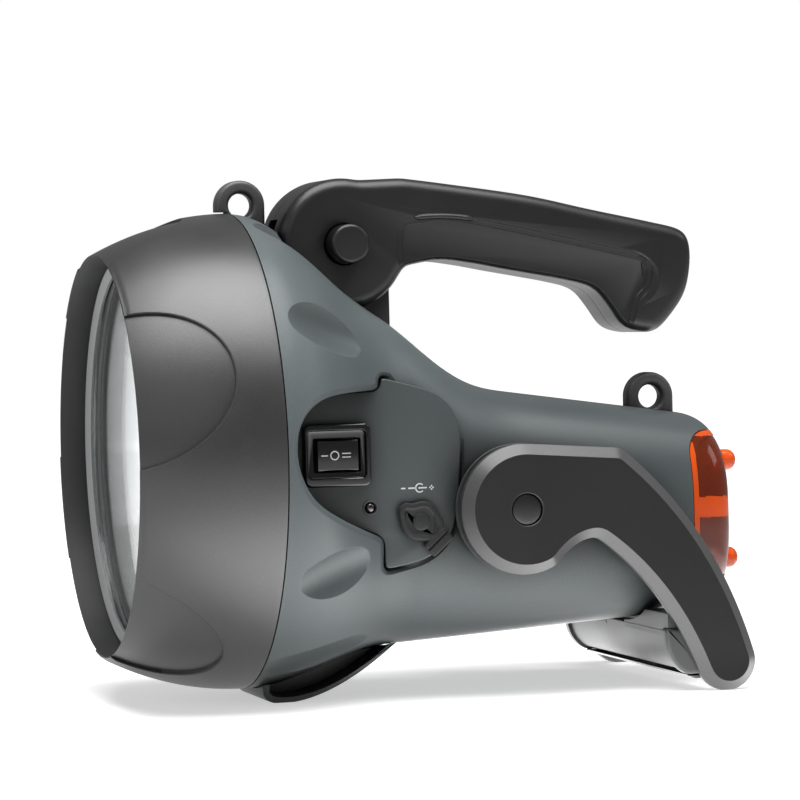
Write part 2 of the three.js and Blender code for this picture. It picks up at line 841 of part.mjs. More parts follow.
// A toothed outline about the pivot
function gearShape() {
  const points = [];
  for (let i = 0; i < gearTeeth; i += 1) {
    gearToothShares.forEach(([turn, drop]) => {
      const angle = ((i + turn) * 2 * Math.PI) / gearTeeth;
      const radius = gearRadius - drop * gearToothDepth;
      points.push(new THREE.Vector2(pivotX + radius * Math.cos(angle), pivotZ + radius * Math.sin(angle)));
    });
  }
  return new THREE.Shape(points);
}

function lockGear() {
  const bore = rodY(axleRadius + gap, -handleHalfWidth, handleHalfWidth, pivotX, pivotZ);
  return slab(gearShape(), gearNearY + gap, gearFarY).subtract(bore);
}

const buttonFaceY = -handleHalfWidth - buttonProud;
function lockButton() {
  const flangeY = gearNearY - buttonFlangeThickness;
  const body = turnedY([
    [buttonFaceY, 0],
    [buttonFaceY, buttonRadius - buttonRound],
    [buttonFaceY + buttonRound / 2, buttonRadius - buttonRound / 4],
    [buttonFaceY + buttonRound, buttonRadius],
    [flangeY, buttonRadius],
    [flangeY, buttonFlangeRadius],
    [gearNearY, buttonFlangeRadius],
    [gearNearY, 0],
  ], pivotX, pivotZ, buttonSteps);
  const bore = rodY(
    axleRadius + gap, axleInnerY - buttonTravel - gearClearance, handleHalfWidth, pivotX, pivotZ,
  );
  return body.subtract(bore);
}

// Three turns of wire round the axle, between the gear and the tongue's web
class SpringPath extends THREE.Curve {
  getPoint(share) {
    const angle = share * springTurns * 2 * Math.PI;
    const y0 = gearFarY + gap + springWireRadius;
    const y1 = springFloorY - gap - springWireRadius;
    return new THREE.Vector3(
      pivotX + springRadius * Math.cos(angle),
      y0 + (y1 - y0) * share,
      pivotZ + springRadius * Math.sin(angle),
    );
  }
}

function lockSpring() {
  const section = new THREE.Shape();
  section.absarc(0, 0, springWireRadius, 0, 2 * Math.PI, false);
  const geometry = new THREE.ExtrudeGeometry(section, {
    steps: springSteps,
    bevelEnabled: false,
    extrudePath: new SpringPath(),
    curveSegments: wireSteps,
  });
  return solid(geometry);
}

const gripTopZ = pivotZ + gripTop;
const gripPoint = ([along, down]) =>
  new THREE.Vector2(pivotX + along * gripLength, gripTopZ - down * gripHeight);

function handleShape() {
  const points = gripOutlineShares.map(gripPoint);
  const shape = new THREE.Shape();
  shape.moveTo(points[0].x, points[0].y);
  points.slice(1).forEach((point) => shape.lineTo(point.x, point.y));
  shape.absarc(pivotX, pivotZ, hubRadius, radians(hubArcStart), radians(hubArcEnd), false);
  shape.closePath();
  return shape;
}

// What the tongue sweeps inside the hub as the handle turns up through a quarter turn
function tongueSweep() {
  const half = tongueHalfWidth + tongueClearance;
  const reach = 2 * hubRadius;
  const side = tongueStemHalfLength + tongueClearance;
  const disc = rodY(tongueRadius + tongueClearance, -half, half, pivotX, pivotZ, roundSteps);
  const stem = block(pivotX - reach, pivotX + side, -half, half, pivotZ - reach, pivotZ + side);
  const heel = block(
    pivotX - reach, pivotX + tongueHeelLength + tongueClearance, -half, half,
    pivotZ - reach, pivotZ - tongueHeelDrop + tongueClearance,
  );
  return joined([disc, stem, heel]);
}

const handleScrews = handleScrewShares.map(gripPoint).map((point) => ({ x: point.x, z: point.y }));

function handleHalf(side) {
  const shape = handleShape();
  const outer = bevelledSlab(
    shape, -handleHalfWidth, handleHalfWidth, handleBevel, handleBevelSteps, armSteps,
  );
  const inner = slab(shape, -handleHalfWidth + handleWall, handleHalfWidth - handleWall, -handleWall);
  const hollowX = pivotX + hollowStartShare * gripLength;
  const beyond = pivotX + gripLength + overrun;
  const hollow = inner.intersect(block(hollowX, beyond, -headRadius, headRadius, 0, 2 * pivotZ));
  const panelShape = new THREE.Shape(gripPanelShares.map(gripPoint));
  const panel = slab(panelShape, handleHalfWidth - gripPanelDepth, handleHalfWidth + overrun);
  const bossY = handleHalfWidth - gripPanelDepth;
  const bosses = handleScrews.map(({ x, z }) => rodY(handleBossRadius, -bossY, bossY, x, z, tinySteps));
  const holes = handleScrews.map(({ x, z }) => {
    const wellY = handleScrewHeadY - screwHeadHeight - gap;
    const well = rodY(screwWellRadius, wellY, outsideYFar, x, z, tinySteps);
    const shankY = handleScrewHeadY - handleScrewLength - gap;
    return well.add(rodY(screwRadius + gap, shankY, outsideYFar, x, z, tinySteps));
  });
  const whole = outer
    .subtract(hollow)
    .add(joined(bosses).intersect(inner))
    .subtract(joined(holes))
    .subtract(panel)
    .subtract(mirrored(panel))
    .subtract(tongueSweep());
  const far = pivotX + gripLength + overrun;
  const y0 = side < 0 ? -headRadius : gap / 2;
  const y1 = side < 0 ? -gap / 2 : headRadius;
  return whole.intersect(block(0, far, y0, y1, 0, 2 * pivotZ));
}

function handleLeft() {
  const bore = rodY(buttonRadius + gap, -headRadius, 0, pivotX, pivotZ, buttonSteps);
  const flangeWell = rodY(
    buttonFlangeRadius + gap, gearNearY - buttonFlangeThickness - gap, 0, pivotX, pivotZ, buttonSteps,
  );
  const teeth = slab(gearShape(), gearNearY, 0, gearClearance);
  return handleHalf(-1).subtract(bore).subtract(flangeWell).subtract(teeth);
}

const capBackY = handleHalfWidth + gap;
function handleRight() {
  return handleHalf(1).subtract(rodY(axleRadius + gap, 0, headRadius, pivotX, pivotZ));
}

function pivotCap() {
  return turnedY([
    [capBackY, 0],
    [capBackY, capRadius],
    [capBackY + capThickness / 2, capRadius],
    [capBackY + capThickness, capRadius - capThickness / 2],
    [capBackY + capThickness, 0],
  ], pivotX, pivotZ);
}

// Strap rings are arches on a foot that the two housing halves trap
function archShape(x, z) {
  const shape = new THREE.Shape();
  shape.moveTo(x + ringRadius, z - 2 * ringRadius);
  shape.lineTo(x + ringRadius, z);
  shape.absarc(x, z, ringRadius, 0, Math.PI, false);
  shape.lineTo(x - ringRadius, z - 2 * ringRadius);
  shape.closePath();
  return shape;
}

function strapRing(x, rise) {
  const z = surfaceTop(x) + rise;
  const half = ringThickness / 2;
  const foot = block(x - ringFootLength / 2, x + ringFootLength / 2, -half, half, z - ringFootDepth, z);
  const arch = bevelledSlab(archShape(x, z), -half, half, ringBevel, ringBevelSteps)
    .subtract(housingSkin(-2 * gap));
  const overBezel = rodX(headRadius + 2 * gap, -bezelLength, gap, 0, 0, roundSteps);
  const hole = rodY(ringHoleRadius, -ringThickness, ringThickness, x, z);
  return arch.add(foot).subtract(hole).subtract(overBezel);
}

function strapRingSlot(x, rise) {
  const z = surfaceTop(x) + rise;
  const half = ringThickness / 2 + gap;
  const side = ringFootLength / 2 + gap;
  return block(x - side, x + side, -half, half, z - ringFootDepth - gap, z + ringRadius);
}

// Keel foot: a grey skid bowed under the head, on a black web
function keelShape(inset) {
  const front = keelFrontX + inset;
  const rear = keelRearX - inset;
  const length = rear - front;
  const bottom = groundZ - gap + inset;
  const shape = new THREE.Shape();
  shape.moveTo(front, groundZ + keelDepth);
  shape.lineTo(front, groundZ + keelDepth * keelNoseShare);
  shape.quadraticCurveTo(front, bottom, front + length * keelFlatShare, bottom);
  shape.quadraticCurveTo(front + length * keelBowShare, bottom, rear, groundZ + keelDepth);
  shape.closePath();
  return shape;
}

function keelSkid() {
  const outer = slab(keelShape(0), -keelSkidHalfWidth, keelSkidHalfWidth);
  const inner = slab(keelShape(keelSkidThickness), -headRadius, headRadius);
  const above = block(0, housingLength, -headRadius, headRadius, groundZ, 0);
  return outer.subtract(inner).intersect(above).subtract(housingSkin(-gap));
}

function keelWeb() {
  const web = slab(keelShape(keelSkidThickness + 2 * gap), -keelWebHalfWidth, keelWebHalfWidth);
  return web.subtract(housingSkin(-2 * gap));
}

// Battery and electronics
const batteryTopZ = batteryBottomZ + batteryHeight;
const batteryRearX = batteryX + batteryLength;
const batteryBox = (grow) => block(
  batteryX - grow, batteryRearX + grow,
  -batteryWidth / 2 - grow, batteryWidth / 2 + grow,
  batteryBottomZ - grow, batteryTopZ + grow,
);

function battery() {
  const half = terminalWidth / 2;
  const x = batteryX + terminalInset;
  const terminals = [-1, 1].map((side) => {
    const y = side * (batteryWidth / 2 - terminalInset);
    return block(x, x + terminalLength, y - half, y + half, batteryBottomZ, batteryTopZ + terminalHeight);
  });
  return batteryBox(0).add(joined(terminals));
}

const boardX = batteryX + 2 * terminalInset + terminalLength;
const padZ = batteryTopZ + gap;
const boardZ = padZ + padThickness + gap;
const bulkheadX = batteryRearX + gap;
const rearBoardX = bulkheadX + ribThickness + gap;
const rearLedX = rearBoardX + boardThickness + gap;
const tailMidZ = (tailLensTopZ + tailLensBottomZ) / 2;
const tailWindow = (grow) => roundedRect(
  tailLensX - grow, housingLength + 2 * overrun, tailLensBottomZ - grow, tailLensTopZ + grow, tailLensCorner,
);

// Housing
function dimple(angle) {
  const front = sectionPoint(housingSection(dimpleCentreX - dimpleHalfWidth, 0), Math.PI - radians(angle));
  const back = sectionPoint(housingSection(dimpleCentreX + dimpleHalfWidth, 0), Math.PI - radians(angle));
  const radiusOf = ([, y, z]) => Math.hypot(y, z);
  const slope = Math.atan2(radiusOf(front) - radiusOf(back), 2 * dimpleHalfWidth);
  const geometry = new THREE.SphereGeometry(1, dimpleSteps, dimpleSteps);
  geometry.scale(dimpleHalfLength, dimpleHalfWidth, dimpleHalfWidth);
  geometry.rotateY(slope);
  const middle = radiusOf(sectionPoint(housingSection(dimpleCentreX, 0), Math.PI - radians(angle)));
  const lift = dimpleHalfWidth - dimpleSink;
  geometry.translate(dimpleCentreX + lift * Math.sin(slope), 0, middle + lift * Math.cos(slope));
  geometry.rotateX(radians(90 - angle));
  return solid(geometry);
}

function ribs() {
  const slices = ribShares.map((share) => {
    const x = batteryX + batteryLength * share;
    return block(x, x + ribThickness, -headRadius, headRadius, -headRadius, batteryTopZ);
  });
  const bulkhead = block(
    bulkheadX, bulkheadX + ribThickness, -headRadius, headRadius, -headRadius, headRadius,
  );
  return joined([...slices, bulkhead]).subtract(batteryBox(gap));
}

function spigot() {
  const radius = headRadius - bezelWall - spigotClearance;
  return turned([
    [-spigotLength, radius - spigotWall],
    [-spigotLength, radius],
    [0, radius],
    [0, headRadius - wall / 2],
    [flangeThickness, headRadius - wall / 2],
    [flangeThickness, radius - spigotWall],
  ]);
}

function screwBosses() {
  const boss = ({ x, z }) => rodY(screwBossRadius, -headRadius, headRadius, x, z, tinySteps);
  return joined(housingScrews.map(boss));
}

function screwHoles() {
  return joined(housingScrews.map(({ x, z }) => {
    const well = rodY(screwWellRadius, screwHeadY - screwHeadHeight - gap, outsideYFar, x, z, tinySteps);
    return well.add(rodY(screwRadius + gap, screwHeadY - screwLength - gap, outsideYFar, x, z, tinySteps));
  }));
}

function screw(x, z, headY, length) {
  const head = rodY(screwHeadRadius, headY - screwHeadHeight, headY, x, z, tinySteps);
  return head.add(rodY(screwRadius, headY - length, headY - screwHeadHeight / 2, x, z, tinySteps));
}

function housing() {
  const outer = housingSkin(0);
  const cell = joined([
    ribs(),
    screwBosses(),
    slab(plateShape, outsideY, plateFloorY + pocketWall, pocketWall),
    hubPocket(pocketWall),
  ]).intersect(outer);
  const pinBosses = rodY(standPinRadius + wall, -barrelHalfWidth, -standPinInnerY, standX, standZ)
    .add(rodY(standPinRadius + wall, standPinInnerY, barrelHalfWidth, standX, standZ))
    .intersect(outer);
  const cuts = joined([
    slab(plateShape, outsideY, plateFloorY, gap),
    hubPocket(0),
    tongueBlocks(gap),
    switchBox(gap, outsideY, -batteryWidth / 2),
    rodY(chargeLedRadius + gap, outsideY, plateFloorY + overrun, chargeLedX, chargeLedZ, tinySteps),
    rodY(jackRadius + gap, outsideY, plateFloorY + overrun, jackX, jackZ),
    strapRingSlot(frontRingX, frontRingRise),
    strapRingSlot(rearRingX, rearRingRise),
    rodY(standPinRadius + gap, -headRadius, headRadius, standX, standZ),
    slab(tailWindow(gap), -headRadius, headRadius),
    screwHoles(),
    ...dimpleAngles.flatMap((angle) => [dimple(angle), mirrored(dimple(angle))]),
  ]);
  return outer.subtract(housingInside()).add(cell).add(pinBosses).add(spigot()).subtract(cuts);
}

// Tail lens
function tailLens() {
  const inside = housingSkin(tailLensWall).intersect(
    block(0, housingLength - tailLensWall, -headRadius, headRadius, -headRadius, headRadius),
  );
  const window = slab(tailWindow(0), -headRadius, headRadius);
  const cover = housingSkin(0).subtract(inside).intersect(window);
  const ribX = housingLength - tailRibDepth;
  const rib = block(
    ribX, housingLength - tailLensWall / 2, -tailRibHalfWidth, tailRibHalfWidth,
    tailMidZ - tailRibHalfHeight, tailMidZ + tailRibHalfHeight,
  );
  const knobs = [-1, 1].flatMap((side) => [-1, 1].map((rise) => {
    const knob = turned([
      [housingLength - tailLensWall, 0],
      [housingLength - tailLensWall, knobRadius],
      [housingLength + knobReach - knobRound, knobRadius],
      [housingLength + knobReach, knobRadius - knobRound],
      [housingLength + knobReach, 0],
    ], tinySteps);
    const z = tailMidZ + rise * ((tailLensTopZ - tailLensBottomZ) / 2 - knobInset);
    return knob.translate([0, side * knobY, z]);
  }));
  return joined([cover, rib, ...knobs]);
}

// Stand
const standTipZ = groundZ + standTipRadius - gap;
const washerY = bossFaceY + gap;
const legY = washerY + washerThickness + gap;
const armY = legY + legThickness + gap;
const armFaceY = armY + armCoverThickness;

function armShape() {
  const shape = new THREE.Shape();
  const tipLeft = radians(standTipInner);
  const tipRight = radians(standTipOuter);
  shape.moveTo(standX, standZ + standHubRadius);
  shape.absarc(standX, standZ, standHubRadius, Math.PI / 2, radians(standHubArcEnd), false);
  shape.quadraticCurveTo(standCrookX - standCrookReach, standCrookZ, standCrookX, standCrookZ);
  shape.quadraticCurveTo(
    standShinX, standShinZ,
    standTipX + standTipRadius * Math.cos(tipLeft), standTipZ + standTipRadius * Math.sin(tipLeft),
  );
  shape.absarc(standTipX, standTipZ, standTipRadius, tipLeft, tipRight + 2 * Math.PI, false);
  shape.quadraticCurveTo(standShoulderX, standShoulderZ, standElbowX, standElbowZ);
  shape.closePath();
  return shape;
}

const aboveGround = () => block(0, 2 * housingLength, -headRadius, headRadius, groundZ, headRadius);
const pinBore = () => rodY(standPinRadius + gap, -headRadius, headRadius, standX, standZ);

function armCover() {
  const both = bevelledSlab(armShape(), armY - armBevel, armFaceY, armBevel, armBevelSteps, armSteps);
  const capWell = rodY(
    standCapRadius + gap, armFaceY - standCapRecess - gap, headRadius, standX, standZ,
  );
  const outside = block(0, 2 * housingLength, armY, headRadius, groundZ, headRadius);
  return both.intersect(outside).subtract(pinBore()).subtract(capWell);
}

// The bar runs between the legs behind their shins, with a strip along its foot
const crossbarShape = new THREE.Shape(
  sharePoints(crossbarShares, crossbarX, crossbarFootZ, crossbarLength, crossbarTopZ - crossbarFootZ),
);
const footStripShape = new THREE.Shape(sharePoints(
  footStripShares, crossbarX, crossbarFootZ - gap - footStripThickness, crossbarLength, footStripThickness,
));

function standFrame() {
  const leg = slab(armShape(), legY, legY + legThickness, 0, armSteps)
    .intersect(aboveGround())
    .subtract(pinBore());
  const bar = slab(crossbarShape, -legY - legThickness / 2, legY + legThickness / 2);
  return joined([leg, mirrored(leg), bar]);
}

const footStrip = () => slab(footStripShape, -legY + gap, legY - gap);

function bossDisc() {
  const disc = rodY(bossRadius, standPinInnerY, bossFaceY, standX, standZ, roundSteps);
  return disc.subtract(housingSkin(-2 * gap)).subtract(pinBore());
}

function washer() {
  return rodY(washerRadius, washerY, washerY + washerThickness, standX, standZ).subtract(pinBore());
}

function standPin() {
  return rodY(standPinRadius, standPinInnerY, armFaceY - standCapRecess - gap, standX, standZ);
}

function standCap() {
  const y0 = armFaceY - standCapRecess;
  return turnedY([
    [y0, 0],
    [y0, standCapRadius],
    [armFaceY - standCapRecess / 2, standCapRadius],
    [armFaceY, standCapRadius - standCapRecess],
    [armFaceY, 0],
  ], standX, standZ);
}

// Pieces of the head
piece('bezel', bezel(), bezelBlack);
piece('lens_trim_ring', trimRing(), trimSilver);
piece('front_lens', rodX(seatedRadius, lensX, lensX + lensThickness, 0, 0, roundSteps), clearGlass);
piece('lens_gasket', gasket(), softBlack);
piece('reflector', reflector(), mirrorChrome);
piece('led_board', rodX(ledBoardRadius, ledBoardX, ledBoardX + ledBoardThickness, 0, 0), aluminium);
const emitterX = ledBoardX - gap - emitterHeight;
piece('led_emitter', rodX(emitterRadius, emitterX, ledBoardX - gap, 0, 0), emitterYellow);
piece('heat_sink', heatSink(), aluminium);

// Pieces of the housing
const housingBody = housing();
const farX = housingLength + overrun;
piece('housing_left', housingBody.intersect(
  block(-bezelLength, farX, -headRadius - overrun, -gap / 2, -headRadius - overrun, headRadius + overrun),
), housingGrey);
piece('housing_right', housingBody.intersect(
  block(-bezelLength, farX, gap / 2, headRadius + overrun, -headRadius - overrun, headRadius + overrun),
), housingGrey);
housingScrews.forEach(({ x, z }, i) => {
  piece(`housing_screw_${i + 1}`, screw(x, z, screwHeadY, screwLength), zincSteel);
});
piece('front_strap_ring', strapRing(frontRingX, frontRingRise), bezelBlack);
piece('rear_strap_ring', strapRing(rearRingX, rearRingRise), bezelBlack);
piece('keel_skid', keelSkid(), housingGrey);
piece('keel_web', keelWeb(), softBlack);

// Battery and electronics
piece('battery', battery(), batteryBlack);
piece('battery_pad', block(
  boardX, boardX + boardLength, -boardWidth / 2, boardWidth / 2, padZ, padZ + padThickness,
), padGrey);
piece('main_board', block(
  boardX, boardX + boardLength, -boardWidth / 2, boardWidth / 2, boardZ, boardZ + boardThickness,
), boardGreen);
piece('tail_led_board', block(
  rearBoardX, rearBoardX + boardThickness, -rearBoardWidth / 2, rearBoardWidth / 2,
  tailMidZ - rearBoardHeight / 2, tailMidZ + rearBoardHeight / 2,
), boardGreen);
[-1, 1].forEach((side, i) => [-1, 1].forEach((rise, j) => {
  const led = rodX(
    rearLedRadius, rearLedX, rearLedX + rearLedLength,
    side * rearLedHalfSpacing, tailMidZ + rise * rearLedHalfRise, tinySteps,
  );
  piece(`tail_led_${2 * i + j + 1}`, led, ledRed);
}));
piece('tail_lens', tailLens(), tailOrange);

// Controls
piece('control_plate', controlPlate(), plateGrey);
piece('switch_frame', switchFrame(), glossBlack);
piece('switch_body', switchBody(), softBlack);
piece('rocker_switch', rocker(), glossBlack);
piece('charge_led', rodY(
  chargeLedRadius, plateFaceY - chargeLedProud, plateFaceY - chargeLedProud + chargeLedLength,
  chargeLedX, chargeLedZ, tinySteps,
), ledRed);
piece('dc_jack', jack(), softBlack);
piece('jack_cover', jackCover(), softBlack);

// Handle
piece('pivot_tongue', tongue(), handleBlack);
piece('pivot_axle', rodY(axleRadius, axleInnerY, capBackY - gap, pivotX, pivotZ), zincSteel);
piece('pivot_cap', pivotCap(), handleBlack);
piece('lock_button', lockButton(), handleBlack);
piece('lock_gear', lockGear(), zincSteel);
piece('lock_spring', lockSpring(), zincSteel);
piece('handle_left', handleLeft(), handleBlack);
piece('handle_right', handleRight(), handleBlack);
handleScrews.forEach(({ x, z }, i) => {
  piece(`handle_screw_${i + 1}`, screw(x, z, handleScrewHeadY, handleScrewLength), zincSteel);
});

// Stand
piece('stand_frame', standFrame(), armEdge);
piece('stand_foot_strip', footStrip(), armEdge);
[['left', mirrored], ['right', (body) => body]].forEach(([side, place]) => {
  piece(`stand_arm_${side}`, place(armCover()), armDark);
  piece(`stand_boss_${side}`, place(bossDisc()), housingGrey);
  piece(`stand_washer_${side}`, place(washer()), zincSteel);
  piece(`stand_pin_${side}`, place(standPin()), zincSteel);
  piece(`stand_cap_${side}`, place(standCap()), handleBlack);
});

// Stand the lamp on its origin
const box = new THREE.Box3().setFromObject(lamp);
const centre = box.getCenter(new THREE.Vector3());
lamp.position.set(-centre.x, -centre.y, -box.min.z);

export default lamp;
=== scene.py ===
# The looks of a rechargeable hand spotlight with a locking top handle and a folding stand.
# Shapes are worked out in millimetres on the lamp's own axes: x along the head axis towards the tail,
# 0 at the seam between bezel and housing, y 0 on the mid-plane with the switch on the -y side, and
# z 0 on the head axis. They are moved to the row frame, in metres, when a mesh is made.
import json
import math

import bmesh
import bpy
import numpy as np
from mathutils import Matrix, Vector


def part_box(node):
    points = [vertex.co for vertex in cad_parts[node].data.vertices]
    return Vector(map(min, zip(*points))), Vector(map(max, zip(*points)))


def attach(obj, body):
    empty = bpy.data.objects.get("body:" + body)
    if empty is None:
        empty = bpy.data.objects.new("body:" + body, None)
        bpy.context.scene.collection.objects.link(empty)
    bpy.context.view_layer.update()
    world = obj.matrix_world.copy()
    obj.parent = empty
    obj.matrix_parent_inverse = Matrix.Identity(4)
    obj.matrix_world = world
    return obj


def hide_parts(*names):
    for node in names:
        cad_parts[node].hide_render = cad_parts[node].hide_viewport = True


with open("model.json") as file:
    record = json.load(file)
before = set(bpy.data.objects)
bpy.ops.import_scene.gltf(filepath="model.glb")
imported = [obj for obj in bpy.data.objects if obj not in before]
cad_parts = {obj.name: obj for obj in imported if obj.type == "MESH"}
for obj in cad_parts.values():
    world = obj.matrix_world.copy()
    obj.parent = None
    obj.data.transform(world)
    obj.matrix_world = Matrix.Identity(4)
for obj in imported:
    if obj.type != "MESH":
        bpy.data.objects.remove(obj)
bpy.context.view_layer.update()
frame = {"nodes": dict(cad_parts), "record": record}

MM = 0.001

# Fits
GAP = 0.3
BEYOND = 5.0
# How far a cutter runs on past a face that it opens
PAST = 1.0
SKIN_REACH = 20.0
SMALL_ROUND = 0.4
HIDDEN_ROUND = 0.05

# Head
HEAD_RADIUS = 83.6
RIM_RADIUS = 71.2
BEZEL_LENGTH = 47.8
BEZEL_POWER = 2.05
BEZEL_WALL = 3.2
LIP_WIDTH = 1.3
LIP_ROUND = 0.6
LIP_RUN = 0.8
SEAM_RUN = 0.5
HOOD_DEPTH = 9.0
LENS_SEAT_RADIUS = 68.6
PANEL_DEPTH = 1.25
PANEL_REACH = 32.0
PANEL_HALF_ANGLE = 22.5
PANEL_ANGLES = (90, 20.5, -56, 159.5, 236)
PANEL_CORE = 40.0
PANEL_STEP = 0.3
PANEL_STEP_DEPTH = 0.25
TRIM_THICKNESS = 2.5
TRIM_WIDTH = 3.4
TRIM_EDGE = 0.2
LENS_THICKNESS = 2.8
LENS_EDGE = 0.4
GASKET_THICKNESS = 1.2
SHELF_THICKNESS = 2.2
SHELF_WIDTH = 3.9
REFLECTOR_WALL = 1.6
REFLECTOR_RIM = 63.5
REFLECTOR_THROAT = 9.0
REFLECTOR_DEPTH = 43.0
REFLECTOR_FLANGE = 73.7
DOME_PROUD = 0.6
DOME_DEPTH = 1.4
DOME_RADIUS = 2.7
DOME_ROOT_SHARE = 0.7
# The emitter's base as (share of its depth, radius)
EMITTER_BASE = ((0.5, 0), (0.5, 3.0), (0.45, 3.3), (0.55, 4.7), (0.75, 5.0), (1, 5.0), (1, 0))
# Small profiles of turned pieces, as (along, radius) about a corner
SEAM_PROFILE = ((-0.12, -0.05), (0, -0.4))
MOUTH_PROFILE = ((0.5, 0.02), (0.15, 0.2))
TRIM_INNER_PROFILE = ((0, 0), (-0.9, 0), (-1.1, 0.2))
TRIM_FACE_PROFILE = ((0.5, -1.2), (0.1, -0.9), (0, -0.5))

# Housing
WALL = 3.0
HOUSING_LENGTH = 173.0
FLARE_START = 3.0
FLARE_LENGTH = 46.0
FLARE_SIDE_LENGTH = 52.0
NECK_START = 38.0
NECK_LENGTH = 62.0
NECK_RISE = 25.0
NECK_POWER = 1.5
BARREL_TOP = 32.6
BARREL_TOP_SLOPE = 0.146
BARREL_BOTTOM = 73.2
BARREL_BOTTOM_SLOPE = 0.06
BARREL_HALF_WIDTH = 47.0
BARREL_SIDE_SLOPE = 0.02
BARREL_POWER = 3.0
TAIL_ROUND = 9.0
DIMPLE_HALF_LENGTH = 35.0
DIMPLE_HALF_WIDTH = 11.5
DIMPLE_SINK = 4.3
DIMPLE_X = 22.0
DIMPLE_SPAN = 12.0
DIMPLE_ANGLES = (34, -30.5, 71, -61)
DIMPLE_EGG_SHARE = 0.12
DIMPLE_TILT = 2.5
DIMPLE_ROOM = 5.8
DENSE_LENGTH = 62.0

# Switch recess and control plate
PLATE_FACE_Y = -48.5
PLATE_THICKNESS = 4.7
PLATE_LEFT_X = 41.5
PLATE_RIGHT_X = 70.4
PLATE_TOP_Z = 25.6
PLATE_BOTTOM_Z = -41.2
PLATE_SHARES = (
    (0, 1), (0.35, 0.96), (0.64, 0.92), (0.84, 0.86), (0.96, 0.77), (1, 0.63),
    (0.92, 0.27), (0.82, 0.16), (0.62, 0.07), (0.38, 0.03), (0, 0),
)
RECESS_LEFT_X = 3.5
RECESS_TOP_Z = 20.0
RECESS_BOTTOM_Z = -30.0
RECESS_SHARES = (
    (1, 0), (0.73, 0.08), (0.46, 0.17), (0.23, 0.27), (0.1, 0.38), (0.02, 0.52),
    (0, 0.66), (0.04, 0.81), (0.17, 0.93), (0.42, 1), (1, 1.02),
)
RECESS_LIP = 2.8
LIP_TURN = math.radians(72)
LIP_FLARE = 1.6
PLATE_EDGE = 0.6
PLATE_EASING = 10
FRAME_LENGTH = 23.7
FRAME_HEIGHT = 21.6
FRAME_PROUD = 3.0
FRAME_CORNER = 2.4
FRAME_BORDERS = (1.2, 1.9, 3.0, 2.3)
FRAME_DISH = 1.5
FRAME_DISH_CORNER = 1.6
FRAME_ROUND = 0.9
# Sides of the frame's dish at its floor and its rim, as (y, inset)
FRAME_DISH_FOOT = ((0, 0.5), (-0.2, 0.15), (-0.5, 0))
FRAME_DISH_RIM = ((0.3, 0), (0, -0.3), (-1, -0.6))
SWITCH_WELL = (8.4, 5.9)
SWITCH_WELL_CORNER = 0.5
SWITCH_X = 25.2
SWITCH_Z = -0.9
ROCKER_HALF_LENGTH = 7.3
ROCKER_HALF_HEIGHT = 5.4
ROCKER_PROUD = 3.4
ROCKER_DISH = 0.8
ROCKER_HEEL = 5.4
ROCKER_FOOT = 2.2
ROCKER_FOOT_INSET = 0.4
ROCKER_ROUND = 0.7
MARK_RAISE = 0.06
MARK_SINK = 0.12
MARK_WIDTH = 0.42
MARK_STEPS = 49
CHARGE_X = 37.0
CHARGE_Z = -19.4
CHARGE_RADIUS = 1.6
CHARGE_HOLE_PROFILE = ((-1, 1.1), (0.35, 0.25))
CHARGE_PROUD = 0.6
CHARGE_DOME = 1.0
CHARGE_DEPTH = 6.0
CHARGE_RING_PROFILE = ((-0.12, 1.15), (-0.28, 0.95), (-0.28, 0.6), (0.5, 0.3), (0.6, 0.6), (0.1, 1.15))
JACK_HOLE = 4.6
PLUG_RADIUS = 3.4
PLUG_END_Y = -46.2
PLUG_CHAMFER = (0.5, 0.6)
JACK_X = 55.0
JACK_Z = -25.5

# Strap rings
RING_RADIUS = 8.8
RING_HOLE = 4.2
RING_THICKNESS = 7.0
RING_ROUND = 1.5
RING_SEAT = 0.08
RING_DISH = 2.0
RING_FOOT_LENGTH = 8.0
RING_FOOT_DEPTH = 8.5
RING_FOOT_INSET = 0.2
RING_FOOT_CORNER = 0.6
FRONT_RING_X = 5.2
FRONT_RING_RISE = 3.6
REAR_RING_X = 156.3
REAR_RING_RISE = 4.7

# Keel foot
GROUND_Z = -87.7
KEEL_FRONT_X = 4.5
KEEL_REAR_X = 54.5
KEEL_DEPTH = 20.0
KEEL_HALF_WIDTH = 20.0
KEEL_THICKNESS = 2.2
KEEL_ROUND = 0.7
KEEL_SKIN_LENGTH = 90.0
KEEL_WEB_ROUND = 0.5
KEEL_NOSE_SHARE = 0.22
KEEL_FLAT_SHARE = 0.14
KEEL_BOW_SHARE = 0.51

# Tail lens
TAIL_X = 157.0
TAIL_TOP_Z = 2.4
TAIL_BOTTOM_Z = -51.0
TAIL_CORNER = 9.0
TAIL_WALL = 2.2
TAIL_BORDER = 1.9
TAIL_ENGRAVED = 0.45
WINDOW_MARGIN = 0.05
WINDOW_END_MARGIN = 0.1
KNOB_RADIUS = 3.8
KNOB_REACH = 6.3
KNOB_ROUND = 3.2
KNOB_Y = 26.0
KNOB_INSET = 9.2
KNOB_DROP = 1.8
KNOB_SPREAD = 0.9
KNOB_FOOT = ((0.2, 0.5), (0.9, 0))
TAIL_RIB_HALF_HEIGHT = 3.6
TAIL_RIB_HALF_WIDTH = 30.0
TAIL_RIB_DEPTH = 6.0
TAIL_LED_RADIUS = 2.5
TAIL_LED_BASE = ((0, 0.3), (1, 0.3), (1.1, 0))

